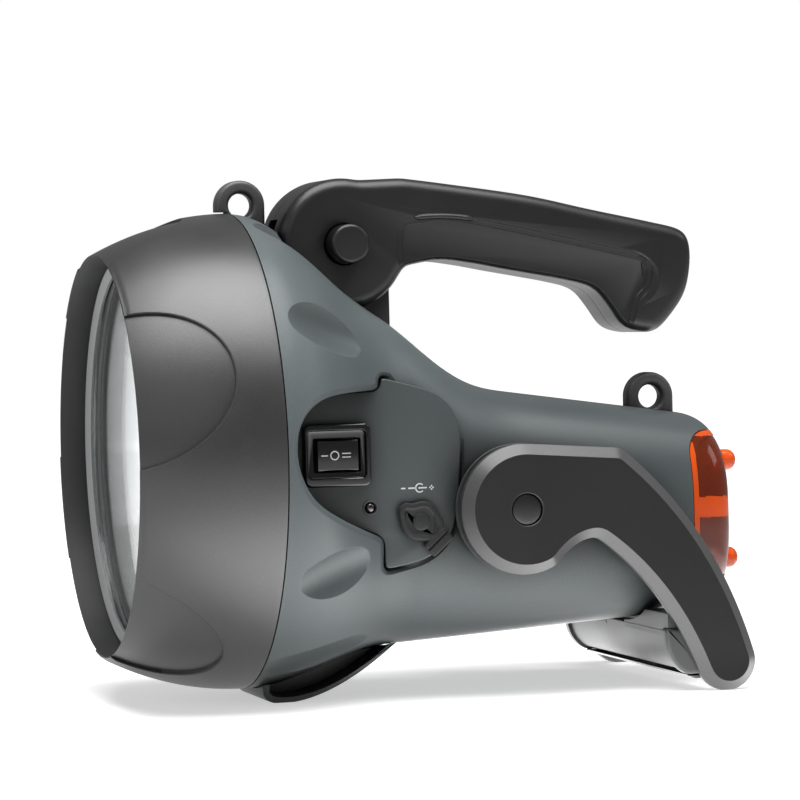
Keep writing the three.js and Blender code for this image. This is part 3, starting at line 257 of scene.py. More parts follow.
# Handle
PIVOT_X = 39.2
PIVOT_Z = 71.7
HUB_RADIUS = 23.3
HUB_ARC = (75, 332)
HANDLE_HALF_WIDTH = 16.0
HANDLE_ROUND = 4.5
HUB_CLEARANCE = 2.2
HUB_ROOM = HUB_RADIUS + HUB_CLEARANCE
HUB_SIDE_CLEARANCE = 1.2
GRIP_LENGTH = 130.1
GRIP_HEIGHT = 57.1
GRIP_TOP = 23.8
GRIP_SHARES = (
    (0.175, 0.558), (0.268, 0.527), (0.36, 0.552), (0.456, 0.595), (0.55, 0.635), (0.64, 0.676),
    (0.712, 0.727), (0.756, 0.84), (0.792, 0.955), (0.835, 1), (0.894, 0.998), (0.954, 0.862), (0.986, 0.736),
    (1, 0.564), (0.995, 0.43), (0.968, 0.362), (0.883, 0.312), (0.708, 0.226), (0.526, 0.133),
    (0.299, 0.054), (0.17, 0.014),
)
GRIP_PANEL_DEPTH = 1.3
GRIP_STEP = 1.9
# Sides of the grip's sunk panel, as (y, inset) about its steps
STEP_FOOT = ((0, 0.5), (0.15, 0.15))
STEP_EDGE = ((-0.1, 0), (0, -0.4))
PANEL_MOUTH = ((-0.1, 0), (0, -0.3), (BEYOND, -0.6))
GRIP_RIM_SHARES = (
    (0.8, 0.478), (0.836, 0.494), (0.869, 0.536), (0.892, 0.597), (0.9, 0.664), (0.893, 0.738),
    (0.873, 0.797), (0.843, 0.846),
)
GRIP_RIM_HALF = 1.5
GRIP_BEAD_SHARES = ((0.198, 0.263), (0.242, 0.257), (0.299, 0.259), (0.367, 0.277))
GRIP_BEAD_HALF = 1.0
BEAD_END = 0.03
BEAD_TAPER = 9
BEAD_STEPS = 14
GRIP_PANEL_SHARES = (
    (0.16, 0.75), (0.147, 0.4), (0.17, 0.28), (0.215, 0.258), (0.347, 0.264), (0.816, 0.5), (0.864, 0.548),
    (0.882, 0.625), (0.868, 0.744), (0.834, 0.851), (0.8, 1.2),
)
BUTTON_RADIUS = 6.9
BUTTON_PROUD = 9.0
BUTTON_ROUND = 1.4
BUTTON_END_Y = -8.5
BUTTON_HOLE_END_Y = -4.0
BUTTON_HOLE_ROUND = 0.5
CAP_RADIUS = 7.0
CAP_THICKNESS = 2.4
CAP_ROUND = 1.2

# Stand
STAND_X = 89.5
STAND_Z = -21.5
BOSS_RADIUS = 20.5
BOSS_FACE_Y = 53.0
BOSS_INNER_Y = 37.5
BOSS_ROUND = 1.2
BOSS_REACH = 30.0
BOSS_GROOVE = ((0, 1.4), (-0.5, 1.1), (-0.5, 0.5), (0, 0.2))
FLANGE_RADIUS = 22.5
FLANGE_FACE_Y = 50.4
FLANGE_THICKNESS = 1.4
FLANGE_EDGE = 0.4
FLANGE_OVERLAP = 2.0
FLANGE_SHADOW_FACING = 0.9
FLANGE_RIM = ((-0.5, 0), (-0.15, -0.15), (0, -0.5))
WASHER_THICKNESS = 0.9
WASHER_EDGE = 0.2
LEG_THICKNESS = 2.6
ARM_THICKNESS = 3.9
ARM_BEVEL = 3.6
ARM_HIGHLIGHT_FACING = (0.3, 0.95)
STAND_HUB_RADIUS = 22.6
STAND_HUB_END = 300
TIP_INNER = 200
TIP_OUTER = 5
TIP_X = 162.4
TIP_RADIUS = 10.8
ELBOW = (125.0, -1.6)
SHOULDER = (160.0, -30.0)
CROOK = (115.5, -32.2)
SHIN = (140.0, -49.5)
CROOK_REACH = 8.0
STAND_CAP_RADIUS = 5.3
STAND_CAP_RECESS = 1.6
STAND_CAP_DOME_SHARE = 0.999
STAND_CAP_RIM = ((-0.3, 0), (0.3, 0.5), (3, 0.5))
BAR_X = 140.6
BAR_LENGTH = 17.0
BAR_TOP_RISE = 22.4
BAR_FOOT_RISE = 6.0
BAR_FLANGE = 4.2
BAR_WAIST = 1.1
BAR_INSET = 0.4
BAR_PITCH = 0.6
BAR_ROUND = 1.4
LEG_ROUNDS = (0.6, 0.4)
SADDLE_OVERLAP = 3.0
SADDLE_RISE = 5.0
SADDLE_SHARE = 0.54
SADDLE_INSET = BAR_WAIST
SADDLE_FROM = 10.0
SADDLE_GAP = 1.0
BAR_FRONT_SHARES = ((0, 1), (0.01, 0.8), (0.03, 0.62), (0.07, 0.45), (0.15, 0.28), (0.28, 0.12), (0.44, 0))
BAR_BACK_SHARES = ((1, 0), (0.97, 0.12), (0.87, 0.27), (0.73, 0.43), (0.64, 0.58), (0.58, 0.78), (0.56, 1))
STRIP_THICKNESS = 1.6
STRIP_ROUND = 0.5
STRIP_SHARES = ((0.48, 1), (0.66, 0), (1, 0), (1, 1))
PIN_RADIUS = 4.0
WASHER_RADIUS = 17.0

# Inner walls
BULKHEAD_X = 148.3
RIB = 2.6
POCKET_WALL = 2.5
SCREW_BOSS = 5.4

# Pivot tongue
TONGUE_FOOT = 3.0
TONGUE_HALF_WIDTH = 5.0
TONGUE_RADIUS = 17.0
TONGUE_STEM = 9.0
TONGUE_HEEL = 18.9
TONGUE_DROP = 10.7
TONGUE_CLEARANCE = 0.4
TONGUE_ROUND = 0.9

# Jack cover: outline, embossing and strap about the middle of the jack
COVER_THICKNESS = 1.9
COVER_ROUND = 0.9
COVER_BACK_ROUND = 0.1
COVER_OUTLINE = (
    (-8.1, 6.1), (-5.7, 7.5), (-3.2, 7.2), (0.1, 7.9), (3.2, 7.1), (5.8, 4.2), (8.0, -0.2), (7.3, -3.3),
    (4.7, -6.4), (0.3, -5.9), (-3.9, -5.2), (-6.5, -2.6), (-7.9, 1.0), (-8.4, 4.1),
)
# Sides of the dish as (y, inset) from the face, and the bump as (y, radius)
COVER_DISH = ((0.45, 2.6), (0.35, 2.2), (0.1, 1.9), (-0.1, 1.6), (-1, 1.6))
COVER_BUMP = ((1.2, 0), (1.2, 3.1), (0.3, 3.1), (0.1, 2.8), (-0.05, 2.2), (-0.1, 0))
COVER_BUMP_PLACE = (-0.3, 0.8)
# Ribs as (x, lowest z, highest z)
COVER_RIBS = ((-5.6, 0.4, 4.2), (4.6, -2.8, 3.6))
COVER_RIB_HALF = 0.35
COVER_RIB_CORNER = 0.3
COVER_RIB_ROUND = 0.25
COVER_RIB_DEPTH = 1.2
COVER_RIB_SINK = 0.05
HINGE_REACH = 10.4
HINGE_ANGLE = 42
HINGE_PROUD = 0.35
HINGE_ROUND = 0.7
# Strap and groove as (from, to, half width, corner) about the hinge's reach
HINGE_STRAP = (-4.6, 0.9, 4.9, 0.9)
HINGE_GROOVE = (-2.6, -2.0, 8, 0.25)
HINGE_GROOVE_SIDES = ((0.35, 0), (-1.5, -0.4))

# Marks printed on the plate and the rocker: bars of (x0, x1, z0, z1) and rings of (x, radius, start, end)
# about their own middles
POLARITY_X = 54.8
POLARITY_Z = -13.2
POLARITY_RING = (0, 1.45, 42, 318)
POLARITY_BARS = (
    (-6.7, -5.1, -0.25, 0.25), (-4.1, -1.5, -0.25, 0.25), (-0.4, 2.6, -0.25, 0.25),
    (3.4, 5.1, -0.25, 0.25), (4.0, 4.5, -0.85, 0.85),
)
ROCKER_BARS = ((-5.9, -3.4, -0.2, 0.2), (1.6, 4.6, 0.45, 0.8), (1.6, 4.6, -0.8, -0.45))
ROCKER_RING = (-1.0, 1.4, 0, 360)

# Screws
SCREW_HEAD = 2.9
SCREW_TIP = 1.2
SCREW_SHANK = 1.4
SCREW_DOME = ((-1.0, 0), (-0.45, -0.3), (-0.1, -1.1), (0, -2.2))
SCREW_SLOT = (0.45, 1.7)
SCREW_SLOT_DEPTH = 1.1
HOUSING_SCREW_LENGTH = 12.0
HANDLE_SCREW_LENGTH = 8.0
SCREW_HEAD_HEIGHT = 2.0
SCREW_WELL = 3.5
SCREW_HEAD_Y = 16.0
HOUSING_SCREWS = ((0.07, 0.57), (0.08, -0.69), (0.35, 0.36), (0.53, 0.13), (0.79, 0.05), (0.21, -0.72))
HANDLE_SCREW_HEAD_Y = 10.0
HANDLE_SCREWS = ((0.3, 0.28), (0.55, 0.37), (0.8, 0.5))

# Mesh fineness
ROUND_STEPS = 240
SMALL_STEPS = 72
FILLET_STEPS = 6
SKIN_STEPS = 560
COARSE_STEPS = 240
DOME_STEPS = 64
BUTTON_STEPS = 96
BOSS_STEPS = 160
WASHER_STEPS = 120
PLUG_STEPS = 48
LED_STEPS = 40
KEY_PITCH = 0.25
STRIP_PITCH = 0.3
FINE_PITCH = 0.4
EDGE_PITCH = 0.5
PANEL_PITCH = 0.8
LONG_PITCH = 1.0
HIDDEN_PITCH = 2.0
SMOOTH_ANGLE = math.radians(32)
ROUND_ANGLE = math.radians(38)
ROUND_SEGMENTS = 3
# In metres, the widest gap that is closed and the shortest edge that is kept
WELD_GAP = 2e-6
LEAST_EDGE = 1e-6

# Material detail
WHITE = (1, 1, 1, 1)
MOTTLE_SCALE = 28.0
MOTTLE_RANGE = (0.25, 0.75)
SPECK_RANGE = (0.3, 0.7)
GLOSS_RANGE = (0.2, 0.8)
RUBBED_GAIN = 2.2
RUBBED_LIFT = 0.02
SPECK_SHARE = 1.4
GLOSS_SPREAD = 0.06
COAT_ROUGHNESS = 0.12
SCRATCH_SCALE = 900.0
SCRATCH_STRETCH = (0.04, 1.0, 1.0)
FILM_SCALE = 60.0
FILM_SPREAD = 0.05
WAVE_DEPTH = 0.05
WAVE_STRENGTH = 0.6
HAZY_SPECULAR = 0.3
SHADOW_LEAST = 0.3
EDGE_REACH = 0.5
EDGE_TURN_LEAST = 0.99
EDGE_TURN_MOST = 0.85
# Painted light: how strongly the reflector glows white, though it is no lamp
REFLECTOR_PAINTED_GLOW = 0.22
# Painted shade in hollows: how far the ambient occlusion reaches and how hard it darkens the colour
PAINTED_SHADE_REACH = 16.0
PAINTED_SHADE_POWER = 1.9
# Painted shade along the lamp, as x at its darkest, x where the colour is full, and the share left at the
# first
PLATE_PAINTED_SHADE = (31.2, 45.2, 0.5)
HOUSING_PAINTED_SHADE = (94.5, 44.5, 0.68)

# Light
GLOSSY_SHARE = 0.1
FLOOR_GLOSS = 6.5
FLOOR_SHADE_FROM = 0.03
FLOOR_SHADE_TO = 0.08
FLOOR_SHADE_TAPER = 0.45
FLOOR_SHADE = 0.12
FLOOR_GLOSS_REACH = 0.27
WORLD_STRENGTH = 0.16
FLOOR_SIZE = 24.0
FLOOR_GLOW_NEAR = 0.5
FLOOR_GLOW_FAR = 1.0
FLOOR_FADE_RANGE = (0.15, 1.4)
FLOOR_COLOUR = (0.8, 0.8, 0.8, 1)
# Lights in metres and watts: place, aim, width, height and power
LIGHTS = {
    "top_box": ((-0.05, -0.28, 1.2), (0, -0.1, 0.08), 1.2, 0.95, 27),
    "front_box": ((-0.9, -1.4, 0.7), (0, 0, 0.1), 0.7, 0.7, 1.2),
    "lens_box": ((-1.0, -0.2, 0.2), (0, 0, 0.08), 0.9, 0.9, 2.2),
    "rear_box": ((1.1, -0.4, 0.9), (0, 0, 0.08), 0.6, 0.6, 2.5),
}

# The camera, from the photograph
CAMERA_AZIMUTH = math.radians(-16)
CAMERA_ELEVATION = math.radians(1.4)
CAMERA_ROLL = math.radians(1.5)
CAMERA_DISTANCE = 1300.0
CAMERA_FOCAL_PIXELS = 3640.0
IMAGE_PIXELS = 800
CAMERA_TARGET = (62.5, 0.0, 16.0)
CAMERA_CLIP = (0.05, 50)

# Places that follow from these
RIM_X = -BEZEL_LENGTH
TRIM_X = RIM_X + HOOD_DEPTH
LENS_X = TRIM_X + TRIM_THICKNESS + GAP
GASKET_X = LENS_X + LENS_THICKNESS + GAP
SHELF_X = GASKET_X + GASKET_THICKNESS + GAP
SHELF_BACK_X = SHELF_X + SHELF_THICKNESS
SEATED_RADIUS = LENS_SEAT_RADIUS - GAP
REFLECTOR_X = SHELF_BACK_X + GAP
TIP_Z = GROUND_Z + TIP_RADIUS - GAP
LEG_Y = BOSS_FACE_Y + GAP + WASHER_THICKNESS + GAP
ARM_Y = LEG_Y + LEG_THICKNESS + GAP
ARM_FACE_Y = ARM_Y + ARM_THICKNESS
SHIFT = Vector((
    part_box("bezel")[0].x / MM + BEZEL_LENGTH,
    0.0,
    (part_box("bezel")[0].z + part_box("bezel")[1].z) / (2 * MM),
))


def to_row(points):
    return (np.asarray(points, float) + np.array(SHIFT)) * MM


# Outlines

def arc(x, z, radius, start, end, steps=24):
    angles = np.radians(np.linspace(start, end, steps + 1))
    return [(x + radius * math.cos(a), z + radius * math.sin(a)) for a in angles]


def bend(start, control, end, steps=24):
    points = []
    for t in np.linspace(0, 1, steps + 1):
        parts = ((1 - t) ** 2, 2 * t * (1 - t), t * t)
        points.append(tuple(sum(p * q for p, q in zip(parts, pair)) for pair in zip(start, control, end)))
    return points


def spline(points, steps=8):
    """A smooth curve through the points, which it starts and ends at."""
    points = [np.array(p, float) for p in points]
    ends = [2 * points[0] - points[1]] + points + [2 * points[-1] - points[-2]]
    curve = []
    for i in range(len(points) - 1):
        a, b, c, d = ends[i:i + 4]
        for t in np.arange(steps) / steps:
            curve.append(tuple(0.5 * (
                2 * b + (c - a) * t + (2 * a - 5 * b + 4 * c - d) * t ** 2 + (3 * b - a - 3 * c + d) * t ** 3
            )))
    return curve + [tuple(points[-1])]


def evenly(points, pitch, closed=True):
    """The same line with points a pitch apart."""
    line = np.array(points, float)
    if closed:
        line = np.vstack([line, line[:1]])
    lengths = np.concatenate([[0], np.cumsum(np.linalg.norm(np.diff(line, axis=0), axis=1))])
    count = max(8, int(round(lengths[-1] / pitch)))
    places = np.linspace(0, lengths[-1], count, endpoint=not closed)
    return np.stack([np.interp(places, lengths, line[:, k]) for k in range(2)], axis=1)


def signed_area(loop):
    x, z = loop[:, 0], loop[:, 1]
    return float(np.sum(x * np.roll(z, -1) - np.roll(x, -1) * z)) / 2


def outward(loop):
    """Unit normals of a closed outline, pointing out of it."""
    along = np.roll(loop, -1, axis=0) - np.roll(loop, 1, axis=0)
    along /= np.maximum(np.linalg.norm(along, axis=1, keepdims=True), 1e-9)
    normal = np.stack([along[:, 1], -along[:, 0]], axis=1)
    return normal if signed_area(loop) > 0 else -normal


def eased(loop, times):
    """The outline with its corners softened by averaging neighbours."""
    for _ in range(times):
        loop = (np.roll(loop, 1, axis=0) + 2 * loop + np.roll(loop, -1, axis=0)) / 4
    return loop


def even_angles(count):
    return np.arange(count) * 2 * math.pi / count


def shifted(points, x, z):
    return [(x + a, z + b) for a, b in points]


def rounded_box(x0, x1, z0, z1, corner, steps=8):
    left, right, low, high = x0 + corner, x1 - corner, z0 + corner, z1 - corner
    corners = ((right, low, -90), (right, high, 0), (left, high, 90), (left, low, 180))
    return [point for x, z, start in corners for point in arc(x, z, corner, start, start + 90, steps)]


def quarter(steps, size):
    """The steps of a rounded edge, as how far each lies in from the face and from the side."""
    turns = [math.pi / 2 * k / steps for k in range(steps + 1)]
    return [(size * (1 - math.cos(t)), size * (1 - math.sin(t))) for t in turns]


def rolled(face, radius, size, steps):
    """A profile's rounded edge from its side, at radius, over to a face on the far side."""
    return [(face - face_in, radius - side_in) for side_in, face_in in quarter(steps, size)]


def rounded_stations(y0, y1, round0, round1, steps=FILLET_STEPS):
    """Places across a slab and how far its outline is drawn in there, for rounded edges."""
    first = [(y0 + across, inset) for across, inset in quarter(steps, round0)]
    last = [(y1 - across, inset) for across, inset in quarter(steps, round1)]
    return first + last[::-1]


# Meshes

def new_object(name, points, faces):
    mesh = bpy.data.meshes.new(name)
    mesh.from_pydata(to_row(points).tolist(), [], faces)
    obj = bpy.data.objects.new(name, mesh)
    bpy.context.scene.collection.objects.link(obj)
    tidy(obj)
    return obj


def tidy(obj):
    """Joins doubled points and turns every face outward."""
    shape = bmesh.new()
    shape.from_mesh(obj.data)
    bmesh.ops.remove_doubles(shape, verts=shape.verts, dist=WELD_GAP)
    bmesh.ops.dissolve_degenerate(shape, edges=shape.edges, dist=LEAST_EDGE)
    bmesh.ops.recalc_face_normals(shape, faces=shape.faces)
    shape.to_mesh(obj.data)
    shape.free()


def ring_faces(rows, columns, wrap_rows=False):
    faces = []
    for r in range(rows if wrap_rows else rows - 1):
        low = r * columns
        high = ((r + 1) % rows) * columns
        for c in range(columns):
            d = (c + 1) % columns
            faces.append((low + c, low + d, high + d, high + c))
    return faces


def capped(name, rows):
    """A solid through closed rows of points, with a face over the first and the last."""
    count = len(rows[0])
    last = (len(rows) - 1) * count
    faces = ring_faces(len(rows), count) + [tuple(range(count)), tuple(range(last, last + count))]
    return new_object(name, np.vstack(rows), faces)


def turned(name, profile, steps=ROUND_STEPS, y=0.0, z=0.0):
    """A closed profile of (x, radius) turned about a line along x."""
    angles = even_angles(steps)
    points = [(x, y + r * math.cos(a), z + r * math.sin(a)) for x, r in profile for a in angles]
    return new_object(name, points, ring_faces(len(profile), steps, True))


def turned_y(name, profile, x, z, steps=SMALL_STEPS):
    """A closed profile of (y, radius) turned about a line along y."""
    angles = even_angles(steps)
    points = [(x + r * math.cos(a), y, z + r * math.sin(a)) for y, r in profile for a in angles]
    return new_object(name, points, ring_faces(len(profile), steps, True))


def slab(name, loop, stations, along_z=False):
    """An outline in x and z carried through stations of (y, how far it is drawn in)."""
    loop = np.asarray(loop, float)
    normals = outward(loop)
    rows = []
    for place_at, inset in stations:
        first, second = (loop - normals * inset).T
        level = np.full(len(loop), place_at)
        rows.append(np.stack((first, second, level) if along_z else (first, level, second), axis=1))
    return capped(name, rows)


def through(loop, y0=-HEAD_RADIUS, y1=HEAD_RADIUS):
    return slab("cutter", loop, [(y0, 0), (y1, 0)])


def block(name, x0, x1, y0, y1, z0, z1):
    loop = [(x0, z0), (x1, z0), (x1, z1), (x0, z1)]
    return slab(name, loop, [(y0, 0), (y1, 0)])


def rod_y(name, radius, y0, y1, x, z, steps=SMALL_STEPS):
    return turned_y(name, [(y0, 0), (y0, radius), (y1, radius), (y1, 0)], x, z, steps)


def eye_cutter(radius, y0, y1, lip, x, z):
    """A round hole from y0 to y1 with rolled edges."""
    wide = radius + lip
    edge = [(y, radius + inset) for y, inset in rounded_stations(y0, y1, lip, lip)]
    start, end = y0 - PAST, y1 + PAST
    return turned_y("cutter", [(start, 0), (start, wide)] + edge + [(end, wide), (end, 0)], x, z)


def rounded_copy(name, node_name, width):
    """A CAD node's own shape with its sharp edges rounded."""
    obj = bpy.data.objects.new(name, frame["nodes"][node_name].data.copy())
    bpy.context.scene.collection.objects.link(obj)
    tidy(obj)
    step = obj.modifiers.new("round", "BEVEL")
    step.width = width * MM
    step.segments = ROUND_SEGMENTS
    step.limit_method = "ANGLE"
    step.angle_limit = ROUND_ANGLE
    bake(obj)
    return obj


def bake(obj):
    """Replaces the mesh with what its modifiers make of it."""
    view = bpy.context.evaluated_depsgraph_get()
    mesh = bpy.data.meshes.new_from_object(obj.evaluated_get(view))
    old = obj.data
    obj.modifiers.clear()
    obj.data = mesh
    bpy.data.meshes.remove(old)


def combine(obj, tools, operation):
    for tool in tools:
        step = obj.modifiers.new("step", "BOOLEAN")
        step.operation = operation
        step.solver = "MANIFOLD"
        step.object = tool
        bake(obj)
        bpy.data.objects.remove(tool)
    return obj


def cut(obj, *tools):
    return combine(obj, tools, "DIFFERENCE")


def join(obj, *tools):
    return combine(obj, tools, "UNION")


def keep(obj, *tools):
    return combine(obj, tools, "INTERSECT")


def copy_of(obj, name):
    twin = bpy.data.objects.new(name, obj.data.copy())
    bpy.context.scene.collection.objects.link(twin)
    return twin


def flip(obj):
    obj.data.transform(Matrix.Diagonal((1, -1, 1, 1)))
    obj.data.flip_normals()
    return obj


def paint_faces(obj, look, chosen):
    """A second look for the faces whose middle and normal, in the lamp's millimetres, are chosen."""
    obj.data.materials.append(LOOKS[look])
    for face in obj.data.polygons:
        if chosen(face.center / MM - SHIFT, face.normal):
            face.material_index = 1


def place(obj, body, slot, nodes=(), look=None):
    """Smooths a finished piece, paints it with its slot's look or another one, and ties it to its body."""
    mesh = obj.data
    mesh.polygons.foreach_set("use_smooth", [True] * len(mesh.polygons))
    mesh.set_sharp_from_angle(angle=SMOOTH_ANGLE)
    mesh.materials.clear()
    mesh.materials.append(LOOKS[look or slot])
    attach(obj, body)
    if nodes:
        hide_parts(*nodes)


def place_halves(whole, node_name, body, slot, x0, x1, reach, z0, z1):
    """Parts a shell along the mid-plane into its left half, on the -y side, and its right half."""
    for side, low, high in (("left", -reach, -GAP / 2), ("right", GAP / 2, reach)):
        half = copy_of(whole, f"{node_name}_{side}_shell")
        keep(half, block("half", x0, x1, low, high, z0, z1))
        place(half, body, slot, [f"{node_name}_{side}"])
    bpy.data.objects.remove(whole)


# Materials

LOOKS = {}


def linear(value):
    share = value / 255
    return share / 12.92 if share <= 0.04045 else ((share + 0.055) / 1.055) ** 2.4


def colour(r, g, b):
    return (linear(r), linear(g), linear(b), 1.0)


def feed(tree, owner, **sources):
    """Gives inputs of a node, by name with _ for a blank, a value or the socket that they are linked to."""
    for key, source in sources.items():
        fill(tree, owner.inputs[key.replace("_", " ")], source)


def fill(tree, socket, source):
    if isinstance(source, bpy.types.NodeSocket):
        tree.links.new(source, socket)
    else:
        socket.default_value = source


def node(tree, kind, *sources, **values):
    """A shader node: sources fill its inputs in order, and values are inputs by name or else settings."""
    item = tree.nodes.new("ShaderNode" + kind)
    for key, value in values.items():
        if key.replace("_", " ") in item.inputs:
            feed(tree, item, **{key: value})
        else:
            setattr(item, key, value)
    for socket, source in zip(item.inputs, sources):
        fill(tree, socket, source)
    return item


def maths(tree, operation, *sources):
    return node(tree, "Math", *sources, operation=operation).outputs["Value"]


def ramp(tree, value, from_min, from_max, to_min, to_max, **settings):
    """The value carried over from one range to another."""
    item = node(tree, "MapRange", value, From_Min=from_min, From_Max=from_max, To_Min=to_min, To_Max=to_max)
    for key, setting in settings.items():
        setattr(item, key, setting)
    return item.outputs["Result"]


def mixed(tree, first, second, share=1.0, blend="MULTIPLY"):
    return node(tree, "MixRGB", share, first, second, blend_type=blend).outputs["Color"]


def own_place(tree):
    return node(tree, "TexCoord").outputs["Object"]


def noise(tree, at, scale, detail, roughness=0.5):
    return node(tree, "TexNoise", Vector=at, Scale=scale, Detail=detail, Roughness=roughness).outputs["Fac"]


def bevel_normal(tree, reach):
    return node(tree, "Bevel", samples=4, Radius=reach * MM).outputs["Normal"]


def new_look(name):
    look = bpy.data.materials.new(name)
    look.use_nodes = True
    LOOKS[name] = look
    return look.node_tree, look.node_tree.nodes["Principled BSDF"]


def mould(name, shade, roughness, grain=0.45, depth=0.02, mottle=0.12, wear=0.25, round_edge=0.35,
          specular=0.5, coat=0.0, metallic=0.0, sheen=0.0):
    """Moulded plastic: fine pimpled grain, slow patches of colour and gloss, paler rubbed edges, and painted
    shade in hollows.
    """
    tree, shader = new_look(name)
    shade = colour(*shade)
    at = own_place(tree)
    fine = noise(tree, at, 1 / (grain * MM), 2.0, 0.6)
    slow = noise(tree, at, MOTTLE_SCALE, 4.0, 0.55)
    tint = mixed(tree, shade, ramp(tree, slow, *MOTTLE_RANGE, 1 - mottle, 1 + mottle))
    speck = mottle * SPECK_SHARE
    grainy = mixed(tree, tint, ramp(tree, fine, *SPECK_RANGE, 1 - speck, 1 + speck))
    # Rubbed edges, where the normal turns within a small reach
    flat = node(tree, "NewGeometry").outputs["Normal"]
    turn = node(tree, "VectorMath", bevel_normal(tree, EDGE_REACH), flat, operation="DOT_PRODUCT")
    edge = ramp(tree, turn.outputs["Value"], EDGE_TURN_LEAST, EDGE_TURN_MOST, 0.0, wear)
    pale = tuple(min(1.0, c * RUBBED_GAIN + RUBBED_LIFT) for c in shade[:3]) + (1.0,)
    rubbed = mixed(tree, grainy, pale, edge, "MIX")
    # Painted shade in hollows: ambient occlusion darkens the colour
    hollow = node(tree, "AmbientOcclusion", samples=4, Distance=PAINTED_SHADE_REACH * MM).outputs["AO"]
    shaded = mixed(tree, rubbed, maths(tree, "POWER", hollow, PAINTED_SHADE_POWER))
    # Relief
    bump = node(tree, "Bump", Strength=1.0, Distance=depth * MM, Height=fine)
    if round_edge:
        feed(tree, bump, Normal=bevel_normal(tree, round_edge))
    feed(tree, shader, Base_Color=shaded, Metallic=metallic, Specular_IOR_Level=specular,
         Roughness=ramp(tree, slow, *GLOSS_RANGE, roughness - GLOSS_SPREAD, roughness + GLOSS_SPREAD),
         Coat_Weight=coat, Coat_Roughness=COAT_ROUGHNESS, Sheen_Weight=sheen, Sheen_Roughness=0.5,
         Normal=bump.outputs["Normal"])


def metal(name, shade, roughness, scratch=0.1, brushed=0.0):
    """Metal with fine scratches drawn out along the lamp."""
    mould(name, shade, roughness, grain=0.2, depth=0.002 + brushed, mottle=0.04, wear=0.1, round_edge=0.15,
          metallic=1.0)
    tree = LOOKS[name].node_tree
    stretch = node(tree, "Mapping", Vector=own_place(tree), Scale=SCRATCH_STRETCH)
    lines = noise(tree, stretch.outputs["Vector"], SCRATCH_SCALE, 3.0, 0.7)
    gloss = ramp(tree, lines, 0, 1, max(0.02, roughness - scratch / 2), roughness + scratch / 2)
    feed(tree, tree.nodes["Principled BSDF"], Roughness=gloss)


def clear(name, shade, roughness, ior, grain=0.0, haze=0.0):
    """Clear moulding that lets the light of the lamps through."""
    tree, shader = new_look(name)
    shade = colour(*shade)
    at = own_place(tree)
    gloss = ramp(tree, noise(tree, at, FILM_SCALE, 3.0), 0, 1, roughness, roughness + FILM_SPREAD)
    feed(tree, shader, Base_Color=shade, Transmission_Weight=1.0 - haze, IOR=ior, Roughness=gloss,
         Specular_IOR_Level=HAZY_SPECULAR if haze else 0.5)
    if grain:
        waves = noise(tree, at, 1 / (grain * MM), 1.0)
        bump = node(tree, "Bump", Strength=WAVE_STRENGTH, Distance=WAVE_DEPTH * MM, Height=waves)
        feed(tree, shader, Normal=bump.outputs["Normal"])
    pale = tuple(SHADOW_LEAST + (1 - SHADOW_LEAST) * c for c in shade[:3]) + (1.0,)
    window = node(tree, "BsdfTransparent", Color=pale).outputs["BSDF"]
    shadow = node(tree, "LightPath").outputs["Is Shadow Ray"]
    both = node(tree, "MixShader", shadow, shader.outputs["BSDF"], window)
    feed(tree, tree.nodes["Material Output"], Surface=both.outputs["Shader"])


def paint_shade_across(name, x0, x1, share):
    """Painted shade: multiplies the colour by share at x0, rising to 1 at x1, both along the lamp."""
    tree = LOOKS[name].node_tree
    shader = tree.nodes["Principled BSDF"]
    source = shader.inputs["Base Color"].links[0].from_socket
    along = node(tree, "SeparateXYZ", own_place(tree)).outputs["X"]
    painted_shade_ramp = ramp(tree, along, (SHIFT.x + x0) * MM, (SHIFT.x + x1) * MM, share, 1.0,
                interpolation_type="SMOOTHSTEP")
    feed(tree, shader, Base_Color=mixed(tree, source, painted_shade_ramp))


mould("bezel_plastic", (38, 38, 39), 0.36, 0.42, 0.05, 0.2, 0.4, specular=0.75)
mould("housing_plastic", (84, 91, 92), 0.4, 0.42, 0.03, 0.06, 0.3, specular=0.38)
mould("plate_plastic", (62, 68, 69), 0.5, 0.5, 0.02, 0.05, 0.3)
mould("handle_plastic", (24, 24, 25), 0.36, 0.5, 0.012, 0.08, 0.35, specular=0.45)
mould("arm_plastic", (38, 38, 38), 0.55, 0.5, 0.02, 0.06, 0.3, specular=0.15)
mould("stand_plastic", (56, 57, 58), 0.48, 0.5, 0.02, 0.06, 0.25)
mould("ring_plastic", (72, 72, 73), 0.42, 0.42, 0.025, 0.08, 0.3)
mould("hood_plastic", (46, 46, 47), 0.55, 0.42, 0.03, 0.1, 0.3, specular=0.35)
# Painted light: a much paler copy of the stand's plastic for the foot strip, as if lit from below
mould("strip_plastic_painted_light", (160, 161, 162), 0.42, 0.5, 0.02, 0.06, 0.25)
# Painted highlight: a paler copy of the arm's plastic for its bevel faces
mould("arm_bevel_painted_highlight", (68, 68, 68), 0.36, 0.5, 0.012, 0.05, 0.3)
mould("smoked_led", (40, 16, 15), 0.1, 0.4, 0.001, 0.04, 0.1, 0.1, coat=0.8)
mould("trim_plastic", (150, 151, 152), 0.3, 0.5, 0.004, 0.03, 0.3, 0.2)
mould("switch_plastic", (16, 16, 17), 0.16, 0.6, 0.003, 0.05, 0.05, 0.3, coat=0.15)
mould("soft_rubber", (18, 19, 19), 0.6, 0.6, 0.03, 0.1, 0.15, specular=0.35, sheen=0.1)
mould("inner_plastic", (30, 30, 31), 0.6, 0.5, 0.02, 0.05, 0.1)
mould("battery_plastic", (32, 34, 38), 0.55, 0.6, 0.02, 0.05, 0.2)
mould("pad_foam", (96, 96, 96), 0.95, 0.9, 0.2, 0.2, 0.0, 0.0, 0.2)
mould("board_laminate", (29, 74, 51), 0.4, 0.8, 0.01, 0.12, 0.1, 0.1)
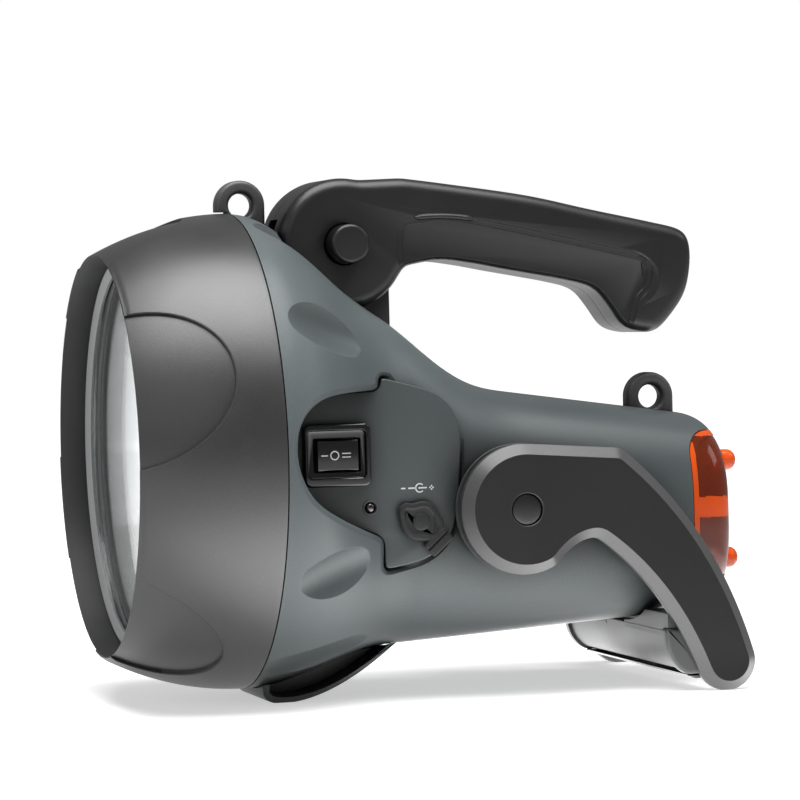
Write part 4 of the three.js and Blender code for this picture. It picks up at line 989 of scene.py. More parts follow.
mould("emitter_phosphor", (227, 196, 74), 0.4, 0.3, 0.01, 0.05, 0.0, 0.1)
mould("red_led", (176, 32, 24), 0.15, 0.4, 0.002, 0.04, 0.1, 0.1, coat=0.6)
metal("zinc_steel", (190, 190, 188), 0.32, 0.16)
metal("heat_metal", (180, 182, 184), 0.4, 0.2, 0.004)
metal("reflector_metal", (238, 239, 240), 0.08, 0.04)
clear("lens_glass", (250, 252, 252), 0.0, 1.45)
clear("tail_plastic", (222, 88, 26), 0.12, 1.47, 0.0, 0.7)
clear("tail_window", (150, 66, 26), 0.06, 1.47, 7.0, 0.2)
mould("mark_white", (214, 216, 214), 0.5, 0.4, 0.004, 0.05, 0.0, 0.0)
# Painted shade on the plate, darkest towards the switch recess
paint_shade_across("plate_plastic", *PLATE_PAINTED_SHADE)
# Painted shade on the housing, darkest on the barrel and lightening towards the flare
paint_shade_across("housing_plastic", *HOUSING_PAINTED_SHADE)
# Painted light: the reflector glows faintly white, though it is no lamp
MIRROR = LOOKS["reflector_metal"].node_tree
feed(MIRROR, MIRROR.nodes["Principled BSDF"], Emission_Color=WHITE, Emission_Strength=REFLECTOR_PAINTED_GLOW)


def paint_frame():
    """Gives every CAD node the look of the slot that the record names for it."""
    for part in frame["record"]["subparts"]:
        item = frame["nodes"][part["node"]]
        for place_in in item.material_slots:
            place_in.material = LOOKS[part["material_slot"]]


# Formulas of the housing

def ease_down(x, start, length):
    share = np.clip((np.asarray(x, float) - start) / length, 0, 1)
    return (1 + np.cos(np.pi * share)) / 2


def section(x, inset=0.0):
    """Centre height, half height, half width and corner power of the housing at a place along x."""
    flare = ease_down(x, FLARE_START, FLARE_LENGTH)
    side = ease_down(x, FLARE_START, FLARE_SIDE_LENGTH)
    top = BARREL_TOP - BARREL_TOP_SLOPE * x + NECK_RISE * ease_down(x, NECK_START, NECK_LENGTH) ** NECK_POWER
    bottom = BARREL_BOTTOM - BARREL_BOTTOM_SLOPE * x
    tail = np.maximum(0, x - (HOUSING_LENGTH - TAIL_ROUND))
    drawn = inset + TAIL_ROUND - np.sqrt(np.maximum(0, TAIL_ROUND ** 2 - tail ** 2))
    top = top + (HEAD_RADIUS - BARREL_TOP - NECK_RISE) * flare - drawn
    bottom = bottom + (HEAD_RADIUS - BARREL_BOTTOM) * flare - drawn
    half_width = BARREL_HALF_WIDTH - BARREL_SIDE_SLOPE * x + (HEAD_RADIUS - BARREL_HALF_WIDTH) * side - drawn
    power = 2 + (BARREL_POWER - 2) * (1 - side)
    return (top - bottom) / 2, (top + bottom) / 2, half_width, power


def skin_point(x, angle, inset=0.0):
    """Points of the housing's skin; the angle is 0 on the +y side and 90 degrees on top."""
    centre, half_height, half_width, power = section(x, inset)
    across = np.abs(np.cos(angle) / half_width) ** power
    up = np.abs(np.sin(angle) / half_height) ** power
    reach = (across + up) ** (-1 / power)
    return reach * np.cos(angle), centre + reach * np.sin(angle)


def skin_side(x, z):
    """How far the skin lies from the mid-plane at x and z."""
    centre, half_height, half_width, power = section(x)
    share = np.clip(np.abs((z - centre) / half_height), 0, 0.999)
    return half_width * (1 - share ** power) ** (1 / power)


def skin_top(x):
    centre, half_height, _, _ = section(x)
    return float(centre + half_height)


def skin_radius(x, angle):
    """How far the housing's skin lies from the axis at x, seen under an angle above the +y side."""
    turns = even_angles(720)
    y, z = skin_point(np.full(720, float(x)), turns)
    seen = np.arctan2(z, y)
    order = np.argsort(seen)
    return float(np.interp(angle, seen[order], np.hypot(y, z)[order]))


def loft(name, stations, angles, inset):
    """The housing's skin through stations along x, drawn in by an inset or by one for each station."""
    rows = []
    for x, drawn in zip(stations, np.broadcast_to(inset, len(stations))):
        here = np.full(len(angles), float(x))
        y, z = skin_point(here, angles, float(drawn))
        rows.append(np.stack([here, y, z], axis=1))
    return capped(name, rows)


# Head

def bezel_radius(x, inset=0.0):
    return HEAD_RADIUS - (HEAD_RADIUS - RIM_RADIUS) * (-x / BEZEL_LENGTH) ** BEZEL_POWER - inset


def bezel_line(x0, x1, count, inset):
    return [(x, bezel_radius(x, inset)) for x in np.linspace(x0, x1, count)]


def panel_cutter(angle, grow):
    """A bar along a radius with the outline of one D panel, which the rim cuts across."""
    half = RIM_RADIUS * math.sin(math.radians(PANEL_HALF_ANGLE)) + grow
    a = math.radians(angle)
    rows = []
    for radius in (PANEL_CORE, HEAD_RADIUS + BEYOND):
        row = []
        for t in even_angles(96):
            x, side = RIM_X + (PANEL_REACH + grow) * math.cos(t), half * math.sin(t)
            y = -radius * math.cos(a) - side * math.sin(a)
            row.append((x, y, radius * math.sin(a) - side * math.cos(a)))
        rows.append(row)
    return capped("cutter", rows)


def make_bezel():
    lip = [(RIM_X + face_in, RIM_RADIUS - side_in) for side_in, face_in in quarter(4, LIP_ROUND)]
    shelf_radius = LENS_SEAT_RADIUS - SHELF_WIDTH
    body = turned("bezel_shell", (
        lip[::-1]
        + bezel_line(RIM_X + LIP_ROUND + LIP_RUN, -GAP - SEAM_RUN, 40, 0)
        + shifted(SEAM_PROFILE, -GAP, HEAD_RADIUS)
        + bezel_line(SHELF_BACK_X, -GAP, 6, BEZEL_WALL)[::-1]
        + [(SHELF_BACK_X, shelf_radius), (SHELF_X, shelf_radius)]
        + [(SHELF_X, LENS_SEAT_RADIUS), (TRIM_X, LENS_SEAT_RADIUS)]
        + shifted(MOUTH_PROFILE, RIM_X, RIM_RADIUS - LIP_WIDTH)
    ))
    for grow, depth in ((PANEL_STEP, PANEL_STEP_DEPTH), (0.0, PANEL_DEPTH)):
        skin = turned("skin", bezel_line(RIM_X - BEYOND, -GAP, 40, depth)
                      + bezel_line(RIM_X - BEYOND, -GAP, 2, -BEYOND)[::-1])
        cutters = [panel_cutter(angle, grow) for angle in PANEL_ANGLES]
        cut(body, keep(skin, join(cutters[0], *cutters[1:])))
    place(body, "lamp", "bezel_plastic", ["bezel"])

    def in_hood(at, normal):
        return normal.y * at.y + normal.z * at.z < 0 and at.x < SHELF_X

    paint_faces(body, "hood_plastic", in_hood)


def make_optics():
    back = TRIM_X + TRIM_THICKNESS
    ring = turned("trim_ring_face", (
        [(TRIM_X + TRIM_EDGE, SEATED_RADIUS), (back, SEATED_RADIUS)]
        + shifted(TRIM_INNER_PROFILE, back, SEATED_RADIUS - TRIM_WIDTH)
        + shifted(TRIM_FACE_PROFILE, TRIM_X, SEATED_RADIUS)
    ))
    place(ring, "lamp", "trim_plastic", ["lens_trim_ring"])
    back = LENS_X + LENS_THICKNESS
    lens = turned("front_glass", [
        (LENS_X, 0), (LENS_X, SEATED_RADIUS - LENS_EDGE), (LENS_X + LENS_EDGE, SEATED_RADIUS),
        (back - LENS_EDGE, SEATED_RADIUS), (back, SEATED_RADIUS - LENS_EDGE), (back, 0),
    ])
    place(lens, "lamp", "lens_glass", ["front_lens"])
    drop = REFLECTOR_RIM ** 2 - REFLECTOR_THROAT ** 2
    shares = 1 - np.linspace(1, 0, 60) ** 2
    inner = [(REFLECTOR_X + REFLECTOR_DEPTH * s, math.sqrt(REFLECTOR_RIM ** 2 - drop * s)) for s in shares]
    outer = shifted(inner, REFLECTOR_WALL, REFLECTOR_WALL)
    flange = [(REFLECTOR_X + REFLECTOR_WALL, REFLECTOR_FLANGE), (REFLECTOR_X, REFLECTOR_FLANGE)]
    bowl = turned("reflector_bowl", inner + outer[::-1] + flange)
    place(bowl, "lamp", "reflector_metal", ["reflector"])
    make_emitter()


def make_emitter():
    low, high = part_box("led_emitter")
    base_x = low.x / MM - SHIFT.x
    deep = (high.x - low.x) / MM
    profile = [(base_x + share * deep, radius) for share, radius in EMITTER_BASE]
    base = turned("emitter_base", profile, DOME_STEPS)
    dome = [
        (base_x - DOME_PROUD + DOME_DEPTH * (1 - math.cos(t)), DOME_RADIUS * math.sin(t))
        for t in np.linspace(0.1, math.pi / 2, 12)
    ]
    root = base_x + DOME_ROOT_SHARE * deep
    profile = [(base_x - DOME_PROUD, 0)] + dome + [(root, DOME_RADIUS), (root, 0)]
    join(base, turned("dome", profile, DOME_STEPS))
    place(base, "lamp", "emitter_phosphor", ["led_emitter"])


# Housing

def plate_loop(pitch=PANEL_PITCH):
    """The plate together with the recess that it runs into."""
    line = []
    for shares, left, right, low, high in (
        (PLATE_SHARES, PLATE_LEFT_X, PLATE_RIGHT_X, PLATE_BOTTOM_Z, PLATE_TOP_Z),
        (RECESS_SHARES, RECESS_LEFT_X, PLATE_LEFT_X, RECESS_BOTTOM_Z, RECESS_TOP_Z),
    ):
        line += spline([(left + a * (right - left), low + b * (high - low)) for a, b in shares])
    return eased(evenly(line, pitch), PLATE_EASING)


def lip_cutter(loop, floor_y, lip):
    """Cuts an outline through the -y side down to a floor, with a rounded lip where it meets the skin."""
    normals = outward(loop)
    rows = [(loop, np.full(len(loop), floor_y))]
    for k in range(FILLET_STEPS + 1):
        a = LIP_TURN * k / FILLET_STEPS
        ring = loop + normals * lip * (1 - math.cos(a))
        skin = -skin_side(ring[:, 0], ring[:, 1])
        y = np.minimum(skin + lip * (1 - math.sin(a)), floor_y - HIDDEN_ROUND)
        rows.append((ring, y))
    wide = ring + normals * lip
    rows.append((wide, np.minimum(y - LIP_FLARE * lip, floor_y - PAST)))
    rows.append((wide, np.full(len(loop), -HEAD_RADIUS - 2 * BEYOND)))
    return capped("cutter", [np.stack([ring[:, 0], y, ring[:, 1]], axis=1) for ring, y in rows])


def ring_slot(x, rise):
    z = skin_top(x) + rise
    half = RING_THICKNESS / 2 + GAP
    side = RING_FOOT_LENGTH / 2 + GAP
    return block("cutter", x - side, x + side, -half, half, z - RING_FOOT_DEPTH - GAP, z + RING_RADIUS)


def tail_loop(grow):
    x1 = HOUSING_LENGTH + 2 * BEYOND
    box = rounded_box(TAIL_X - grow, x1, TAIL_BOTTOM_Z - grow, TAIL_TOP_Z + grow, TAIL_CORNER, 14)
    return evenly(box, LONG_PITCH)


def screw_places():
    return [(along * HOUSING_LENGTH, up * HEAD_RADIUS) for along, up in HOUSING_SCREWS]


def tongue_blocks(grow):
    """The tongue's stem and heel, which reach up out of the housing."""
    foot_z = PIVOT_Z - HUB_ROOM - POCKET_WALL - GAP - TONGUE_FOOT
    half = TONGUE_HALF_WIDTH + grow
    side = TONGUE_STEM + grow
    stem = block("cutter", PIVOT_X - side, PIVOT_X + side, -half, half, foot_z, PIVOT_Z)
    far = PIVOT_X + TONGUE_HEEL + grow
    heel = block("cutter", PIVOT_X, far, -half, half, foot_z - grow, PIVOT_Z - TONGUE_DROP)
    return [stem, heel]


def dimple_cutter(angle):
    """An egg that scoops a dimple out of the flare on the +y side."""
    a = math.radians(angle)
    near, far = skin_radius(DIMPLE_X - DIMPLE_SPAN, a), skin_radius(DIMPLE_X + DIMPLE_SPAN, a)
    slope = math.atan2(near - far, 2 * DIMPLE_SPAN) - math.radians(DIMPLE_TILT)
    radial = np.array((0, math.cos(a), math.sin(a)))
    sideways = np.array((0, -math.sin(a), math.cos(a)))
    ahead = np.array((1, 0, 0))
    along = ahead * math.cos(slope) - radial * math.sin(slope)
    out = ahead * math.sin(slope) + radial * math.cos(slope)
    middle = ahead * DIMPLE_X + radial * skin_radius(DIMPLE_X, a) + out * (DIMPLE_HALF_WIDTH - DIMPLE_SINK)
    turns = even_angles(64)[:, None]
    rows = []
    for t in np.linspace(0.02, math.pi - 0.02, 60):
        place_at = -math.cos(t)
        width = DIMPLE_HALF_WIDTH * math.sin(t) * (1 - DIMPLE_EGG_SHARE * place_at)
        centre = middle + along * DIMPLE_HALF_LENGTH * place_at
        rows.append(centre + sideways * width * np.cos(turns) + out * width * np.sin(turns))
    return capped("cutter", rows)


def tail_stations(start, count, turn, steps):
    """Stations up to the rounded end of the housing and closer together round it."""
    round_x = HOUSING_LENGTH - TAIL_ROUND
    rounded = round_x + TAIL_ROUND * np.sin(np.linspace(0, math.radians(turn), steps))
    return np.concatenate([np.linspace(start, round_x, count)[:-1], rounded])


def hub_room(grow, side, steps):
    return rod_y("cutter", HUB_ROOM + grow, -side, side, PIVOT_X, PIVOT_Z, steps)


def housing_hollow(floor, side):
    """The room inside the walls, less the walls that stand in it."""
    stations = np.concatenate([[-BEYOND], np.linspace(0, HOUSING_LENGTH - WALL, 50)])
    insets = [WALL + DIMPLE_ROOM * float(ease_down(x, FLARE_START, FLARE_SIDE_LENGTH)) for x in stations]
    hollow = loft("hollow", stations, even_angles(120), insets)
    sides = [(-HEAD_RADIUS - BEYOND, -WALL), (floor + WALL, -WALL)]
    inner_plate = slab("wall", plate_loop(HIDDEN_PITCH), sides)
    reach = HEAD_RADIUS
    bulkhead = block("wall", BULKHEAD_X, BULKHEAD_X + RIB, -reach, reach, -reach, reach)
    bosses = [rod_y("wall", SCREW_BOSS, 0, reach, x, z, 32) for x, z in screw_places()]
    return cut(hollow, inner_plate, hub_room(WALL, side + WALL, 120), bulkhead, *bosses)


def make_housing():
    fine = np.concatenate([np.linspace(0, DENSE_LENGTH, 110)[:-1], tail_stations(DENSE_LENGTH, 42, 80, 14)])
    body = loft("housing_shell", fine, even_angles(SKIN_STEPS), 0.0)
    floor = PLATE_FACE_Y + PLATE_THICKNESS
    side = HANDLE_HALF_WIDTH + HUB_SIDE_CLEARANCE
    cut(body, housing_hollow(floor, side))
    cut(body, *[dimple_cutter(angle) for angle in DIMPLE_ANGLES])
    cut(body, *[flip(dimple_cutter(angle)) for angle in DIMPLE_ANGLES])
    cut(body, lip_cutter(plate_loop(), floor, RECESS_LIP))
    cut(body, hub_room(0, side, 144))
    cut(body, ring_slot(FRONT_RING_X, FRONT_RING_RISE), ring_slot(REAR_RING_X, REAR_RING_RISE))
    cut(body, *tongue_blocks(GAP))
    well_y = SCREW_HEAD_Y - SCREW_HEAD_HEIGHT - GAP
    deep = HEAD_RADIUS + BEYOND
    cut(body, *[rod_y("cutter", SCREW_WELL, well_y, deep, x, z, PLUG_STEPS) for x, z in screw_places()])
    cut(body, through(tail_loop(GAP)))
    far = HOUSING_LENGTH + BEYOND
    place_halves(body, "housing", "lamp", "housing_plastic", -BEYOND, far, deep, -deep, deep)


def switch_box(half, tall, corner, steps):
    return rounded_box(SWITCH_X - half, SWITCH_X + half, SWITCH_Z - tall, SWITCH_Z + tall, corner, steps)


def make_plate():
    back = PLATE_FACE_Y + PLATE_THICKNESS - GAP
    edge = rounded_stations(PLATE_FACE_Y, back, PLATE_EDGE, HIDDEN_ROUND, 4)
    plate = slab("control_face", plate_loop(), [(y, inset + GAP) for y, inset in edge])
    cut(plate, through(switch_box(*SWITCH_WELL, SMALL_ROUND, 3), y1=0))
    hole = shifted(CHARGE_HOLE_PROFILE, PLATE_FACE_Y, CHARGE_RADIUS)
    profile = [(hole[0][0], 0)] + hole + [(0, hole[-1][1]), (0, 0)]
    cut(plate, turned_y("cutter", profile, CHARGE_X, CHARGE_Z, LED_STEPS))
    cut(plate, eye_cutter(JACK_HOLE, PLATE_FACE_Y, back, SMALL_ROUND, JACK_X, JACK_Z))
    place(plate, "lamp", "plate_plastic", ["control_plate"])


def marks(name, bars, ring, x, z, face, body, slot):
    """Printed marks that follow a face."""
    points, faces = [], []

    def strip(rows, closed):
        first = len(points)
        points.extend(point for row in rows for point in row)
        count = len(rows)
        new = ring_faces(count, 4, closed)
        if not closed:
            new += [(0, 1, 2, 3), tuple(4 * (count - 1) + k for k in range(4))]
        faces.extend(tuple(first + k for k in item) for item in new)

    for x0, x1, z0, z1 in bars:
        rows = []
        for px in np.linspace(x + x0, x + x1, 9):
            front, back = face(px) - MARK_RAISE, face(px) + MARK_SINK
            rows.append([(px, front, z + z0), (px, front, z + z1), (px, back, z + z1), (px, back, z + z0)])
        strip(rows, False)
    along, radius, start, end = ring
    closed = end - start >= 360
    rows = []
    for a in np.radians(np.linspace(start, end, MARK_STEPS)[:-1 if closed else None]):
        row = []
        for share, sink in ((-0.5, -MARK_RAISE), (0.5, -MARK_RAISE), (0.5, MARK_SINK), (-0.5, MARK_SINK)):
            reach = radius + share * MARK_WIDTH
            px = x + along + reach * math.cos(a)
            row.append((px, face(px) + sink, z + reach * math.sin(a)))
        rows.append(row)
    strip(rows, closed)
    place(new_object(name, points, faces), body, slot, look="mark_white")


def rocker_face(x):
    return PLATE_FACE_Y - ROCKER_PROUD + ROCKER_DISH * (1 - ((x - SWITCH_X) / ROCKER_HALF_LENGTH) ** 2)


def make_switch():
    half, tall = FRAME_LENGTH / 2, FRAME_HEIGHT / 2
    back = PLATE_FACE_Y - GAP
    face = back - FRAME_PROUD
    outline = evenly(switch_box(half, tall, FRAME_CORNER, 10), EDGE_PITCH)
    border = slab("switch_border", outline, rounded_stations(face, back, FRAME_ROUND, HIDDEN_ROUND, 6))
    left, right, low, top = FRAME_BORDERS
    dish = rounded_box(
        SWITCH_X - half + left, SWITCH_X + half - right, SWITCH_Z - tall + low, SWITCH_Z + tall - top,
        FRAME_DISH_CORNER, 8,
    )
    steps = shifted(FRAME_DISH_FOOT, face + FRAME_DISH, 0) + shifted(FRAME_DISH_RIM, face, 0)
    cut(border, slab("cutter", evenly(dish, FINE_PITCH), steps))
    well = switch_box(*SWITCH_WELL, SWITCH_WELL_CORNER, 3)
    cut(border, through(evenly(well, FINE_PITCH), y1=0))
    place(border, "lamp", "switch_plastic", ["switch_frame"])
    xs = np.linspace(-ROCKER_HALF_LENGTH, ROCKER_HALF_LENGTH, 25) + SWITCH_X
    outline = [(x, rocker_face(x)) for x in xs]
    foot = ROCKER_HALF_LENGTH - ROCKER_FOOT_INSET
    outline += [(SWITCH_X + foot, PLATE_FACE_Y - ROCKER_FOOT)]
    outline += arc(SWITCH_X, PLATE_FACE_Y, ROCKER_HEEL, 0, 180, 24)
    outline += [(SWITCH_X - foot, PLATE_FACE_Y - ROCKER_FOOT)]
    rocker = slab("rocker_key", eased(evenly(outline, KEY_PITCH), 3), rounded_stations(
        SWITCH_Z - ROCKER_HALF_HEIGHT, SWITCH_Z + ROCKER_HALF_HEIGHT, ROCKER_ROUND, ROCKER_ROUND, 5,
    ), True)
    place(rocker, "rocker", "switch_plastic", ["rocker_switch"])
    marks("rocker_marks", ROCKER_BARS, ROCKER_RING, SWITCH_X, SWITCH_Z, rocker_face,
          "rocker", "switch_plastic")


def make_plate_details():
    def face(_):
        return PLATE_FACE_Y

    marks("polarity_marks", POLARITY_BARS, POLARITY_RING, POLARITY_X, POLARITY_Z, face,
          "lamp", "plate_plastic")
    top = PLATE_FACE_Y - CHARGE_PROUD
    dome = [
        (top + CHARGE_DOME * (1 - math.cos(t)), CHARGE_RADIUS * math.sin(t))
        for t in np.linspace(0, math.pi / 2, 8)[1:]
    ]
    profile = [(top, 0)] + dome + [(top + CHARGE_DEPTH, CHARGE_RADIUS), (top + CHARGE_DEPTH, 0)]
    lamp = turned_y("charge_light", profile, CHARGE_X, CHARGE_Z, LED_STEPS)
    place(lamp, "lamp", "red_led", ["charge_led"], "smoked_led")
    profile = shifted(CHARGE_RING_PROFILE, PLATE_FACE_Y, CHARGE_RADIUS)
    ring = turned_y("charge_light_ring", profile, CHARGE_X, CHARGE_Z, PLUG_STEPS)
    place(ring, "lamp", "inner_plastic", look="plate_plastic")


def strap_loop(near, far, half, corner, steps):
    """A box along the cover's strap, which runs off from the jack at the hinge's angle."""
    angle = math.radians(HINGE_ANGLE - 90)
    along = np.array((math.cos(angle), math.sin(angle)))
    across = np.array((-along[1], along[0]))
    box = rounded_box(HINGE_REACH + near, HINGE_REACH + far, -half, half, corner, steps)
    middle = np.array((JACK_X, JACK_Z))
    return evenly([tuple(middle + u * along + v * across) for u, v in box], FINE_PITCH)


def make_cover():
    back = PLATE_FACE_Y - GAP
    face = back - COVER_THICKNESS
    outline = spline(shifted(COVER_OUTLINE + COVER_OUTLINE[:1], JACK_X, JACK_Z))[:-1]
    loop = eased(evenly(outline, FINE_PITCH), 2)
    cover = slab("jack_cover_cap", loop, rounded_stations(face, back, COVER_ROUND, COVER_BACK_ROUND, 5))
    cut(cover, slab("cutter", loop, shifted(COVER_DISH, face, 0)))
    bump_x, bump_z = JACK_X + COVER_BUMP_PLACE[0], JACK_Z + COVER_BUMP_PLACE[1]
    bump = turned_y("bump", shifted(COVER_BUMP, face, 0), bump_x, bump_z, PLUG_STEPS)
    ribs = []
    for a, low, high in COVER_RIBS:
        x0, x1 = JACK_X + a - COVER_RIB_HALF, JACK_X + a + COVER_RIB_HALF
        box = rounded_box(x0, x1, JACK_Z + low, JACK_Z + high, COVER_RIB_CORNER, 3)
        near, far = face + COVER_RIB_SINK, face + COVER_RIB_DEPTH
        stations = rounded_stations(near, far, COVER_RIB_ROUND, 0, 3)
        ribs.append(slab("rib", evenly(box, STRIP_PITCH), stations))
    plug = turned_y("plug", [
        (face + PAST, 0), (face + PAST, PLUG_RADIUS), (PLUG_END_Y - PLUG_CHAMFER[0], PLUG_RADIUS),
        (PLUG_END_Y, PLUG_RADIUS - PLUG_CHAMFER[1]), (PLUG_END_Y, 0),
    ], JACK_X, JACK_Z, PLUG_STEPS)
    strap = strap_loop(*HINGE_STRAP, 6)
    edge = rounded_stations(face - HINGE_PROUD, back, HINGE_ROUND, COVER_BACK_ROUND, 5)
    bridge = slab("bridge", strap, edge)
    join(cover, bump, *ribs, plug, bridge)
    cut(cover, slab("cutter", strap_loop(*HINGE_GROOVE, 3), shifted(HINGE_GROOVE_SIDES, face, 0)))
    place(cover, "jack_cover", "soft_rubber", ["jack_cover"])


# Strap rings and keel

def make_ring(name, node_name, x, rise):
    z = skin_top(x) + rise
    half = RING_THICKNESS / 2
    low = z - 2 * RING_RADIUS
    loop = arc(x, z, RING_RADIUS, 0, 180, 60) + [(x - RING_RADIUS, low), (x + RING_RADIUS, low)]
    ring = slab(name, evenly(loop, EDGE_PITCH), rounded_stations(-half, half, RING_ROUND, RING_ROUND, 5))
    near, far = max(0.0, x - 2 * RING_RADIUS), min(x + 2 * RING_RADIUS, HOUSING_LENGTH)
    skin = loft("skin", np.linspace(near, far, 60), even_angles(360), -RING_SEAT)
    room = HEAD_RADIUS + 2 * GAP
    over = turned("bezel_room", [(RIM_X, 0), (RIM_X, room), (GAP, room), (GAP, 0)])
    cut(ring, skin, over, eye_cutter(RING_HOLE, -half, half, RING_DISH, x, z))
    side = RING_FOOT_LENGTH / 2
    low, high = z - RING_FOOT_DEPTH, z - RING_HOLE - RING_DISH
    outline = evenly(rounded_box(x - side, x + side, low, high, RING_FOOT_CORNER, 3), EDGE_PITCH)
    width = half - RING_FOOT_INSET
    join(ring, slab("foot", outline, rounded_stations(-width, width, SMALL_ROUND, SMALL_ROUND, 3)))
    place(ring, "lamp", "bezel_plastic", [node_name], "ring_plastic")


def keel_loop(inset):
    front, rear = KEEL_FRONT_X + inset, KEEL_REAR_X - inset
    length = rear - front
    bottom = GROUND_Z - GAP + inset
    line = [(front, GROUND_Z + KEEL_DEPTH), (front, GROUND_Z + KEEL_DEPTH * KEEL_NOSE_SHARE)]
    line += bend(line[-1], (front, bottom), (front + length * KEEL_FLAT_SHARE, bottom))
    line += bend(line[-1], (front + length * KEEL_BOW_SHARE, bottom), (rear, GROUND_Z + KEEL_DEPTH))
    return evenly(line, PANEL_PITCH)


def make_keel():
    edge = rounded_stations(-KEEL_HALF_WIDTH, KEEL_HALF_WIDTH, KEEL_ROUND, KEEL_ROUND, 3)
    skid = slab("keel_skid_shell", keel_loop(0), edge)
    cut(skid, through(keel_loop(KEEL_THICKNESS)))
    cut(skid, ground_cutter(-BEYOND))
    cut(skid, loft("skin", np.linspace(0, KEEL_SKIN_LENGTH, 70), even_angles(COARSE_STEPS), -GAP))
    place(skid, "lamp", "housing_plastic", ["keel_skid"])
    web = rounded_copy("keel_web_core", "keel_web", KEEL_WEB_ROUND)
    place(web, "lamp", "soft_rubber", ["keel_web"], "inner_plastic")


# Tail

def make_tail():
    start = TAIL_X - SKIN_REACH
    stations = tail_stations(start, 12, 86, 18)
    cover = loft("tail_lens_shell", stations, even_angles(SKIN_STEPS), 0.0)
    keep(cover, through(tail_loop(0)))
    inner = np.linspace(start, HOUSING_LENGTH - TAIL_WALL, 40)
    cut(cover, loft("hollow", inner, even_angles(COARSE_STEPS), TAIL_WALL))
    window = through(tail_loop(-TAIL_BORDER))
    cut(cover, cut(window, loft("skin", stations, even_angles(SKIN_STEPS), TAIL_ENGRAVED)))
    middle = (TAIL_TOP_Z + TAIL_BOTTOM_Z) / 2
    root_x = HOUSING_LENGTH - TAIL_WALL / 2
    wide, tall = TAIL_RIB_HALF_WIDTH, TAIL_RIB_HALF_HEIGHT
    rib_x = HOUSING_LENGTH - TAIL_RIB_DEPTH
    join(cover, block("rib", rib_x, root_x, -wide, wide, middle - tall, middle + tall))
    end = HOUSING_LENGTH + KNOB_REACH
    foot = [(root_x, 0), (root_x, KNOB_RADIUS + KNOB_SPREAD)]
    foot += shifted(KNOB_FOOT, HOUSING_LENGTH, KNOB_RADIUS)
    tip = rolled(end, KNOB_RADIUS, KNOB_ROUND, 6) + [(end, 0)]
    drop = (TAIL_TOP_Z - TAIL_BOTTOM_Z) / 2 - KNOB_INSET
    for side in (-1, 1):
        for rise in (-1, 1):
            z = middle - KNOB_DROP + rise * drop
            join(cover, turned("knob", foot + tip, DOME_STEPS, side * KNOB_Y, z))
    place(cover, "lamp", "tail_plastic", ["tail_lens"])
    edge = TAIL_BORDER - WINDOW_MARGIN

    def in_window(at, _):
        along = TAIL_X + edge < at.x < HOUSING_LENGTH - WINDOW_END_MARGIN
        return along and TAIL_BOTTOM_Z + edge < at.z < TAIL_TOP_Z - edge and abs(at.z - middle) > tall

    paint_faces(cover, "tail_window", in_window)
    for number in range(1, 5):
        make_tail_led(number)


def make_tail_led(number):
    low, high = (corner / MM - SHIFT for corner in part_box(f"tail_led_{number}"))
    y, z = (low.y + high.y) / 2, (low.z + high.z) / 2
    radius = TAIL_LED_RADIUS
    start = high.x - radius
    base = [(low.x, 0)] + shifted(TAIL_LED_BASE, low.x, radius) + [(start, radius)]
    dome = [(start + radius * math.sin(t), radius * math.cos(t)) for t in np.linspace(0.1, 1.5, 12)]
    led = turned(f"tail_led_dome_{number}", base + dome + [(high.x, 0)], LED_STEPS, y, z)
    place(led, "lamp", "red_led", [f"tail_led_{number}"])


# Handle

def grip_points(shares):
    top = PIVOT_Z + GRIP_TOP
    return [(PIVOT_X + along * GRIP_LENGTH, top - down * GRIP_HEIGHT) for along, down in shares]


def handle_loop():
    grip = spline(grip_points(GRIP_SHARES), 10)
    hub = arc(PIVOT_X, PIVOT_Z, HUB_RADIUS, HUB_ARC[0], HUB_ARC[1], 90)
    return eased(evenly(grip + hub, LONG_PITCH), 4)


def bead(path, half, y):
    """A raised bead with tapered ends along a path that lies on a face."""
    path = evenly(path, EDGE_PITCH, False)
    along = np.gradient(path, axis=0)
    along /= np.linalg.norm(along, axis=1, keepdims=True)
    turns = even_angles(BEAD_STEPS)
    rows = []
    for k, ((x, z), (ax, az)) in enumerate(zip(path, along)):
        share = min(k, len(path) - 1 - k) / (len(path) - 1)
        size = half * math.sqrt(min(1.0, BEAD_END + share * BEAD_TAPER))
        out = size * np.cos(turns)
        rows.append(np.stack([x + az * out, y - size * np.sin(turns), z - ax * out], axis=1))
    return capped("bead", rows)


def tongue_sweep():
    """Room inside the hub for the tongue as the handle turns up."""
    half = TONGUE_HALF_WIDTH + TONGUE_CLEARANCE
    left, low = PIVOT_X - 2 * HUB_RADIUS, PIVOT_Z - 2 * HUB_RADIUS
    side = TONGUE_STEM + TONGUE_CLEARANCE
    far, high = PIVOT_X + TONGUE_HEEL + TONGUE_CLEARANCE, PIVOT_Z - TONGUE_DROP + TONGUE_CLEARANCE
    return [
        rod_y("cutter", TONGUE_RADIUS + TONGUE_CLEARANCE, -half, half, PIVOT_X, PIVOT_Z, BUTTON_STEPS),
        block("cutter", left, PIVOT_X + side, -half, half, low, PIVOT_Z + side),
        block("cutter", left, far, -half, half, low, high),
    ]


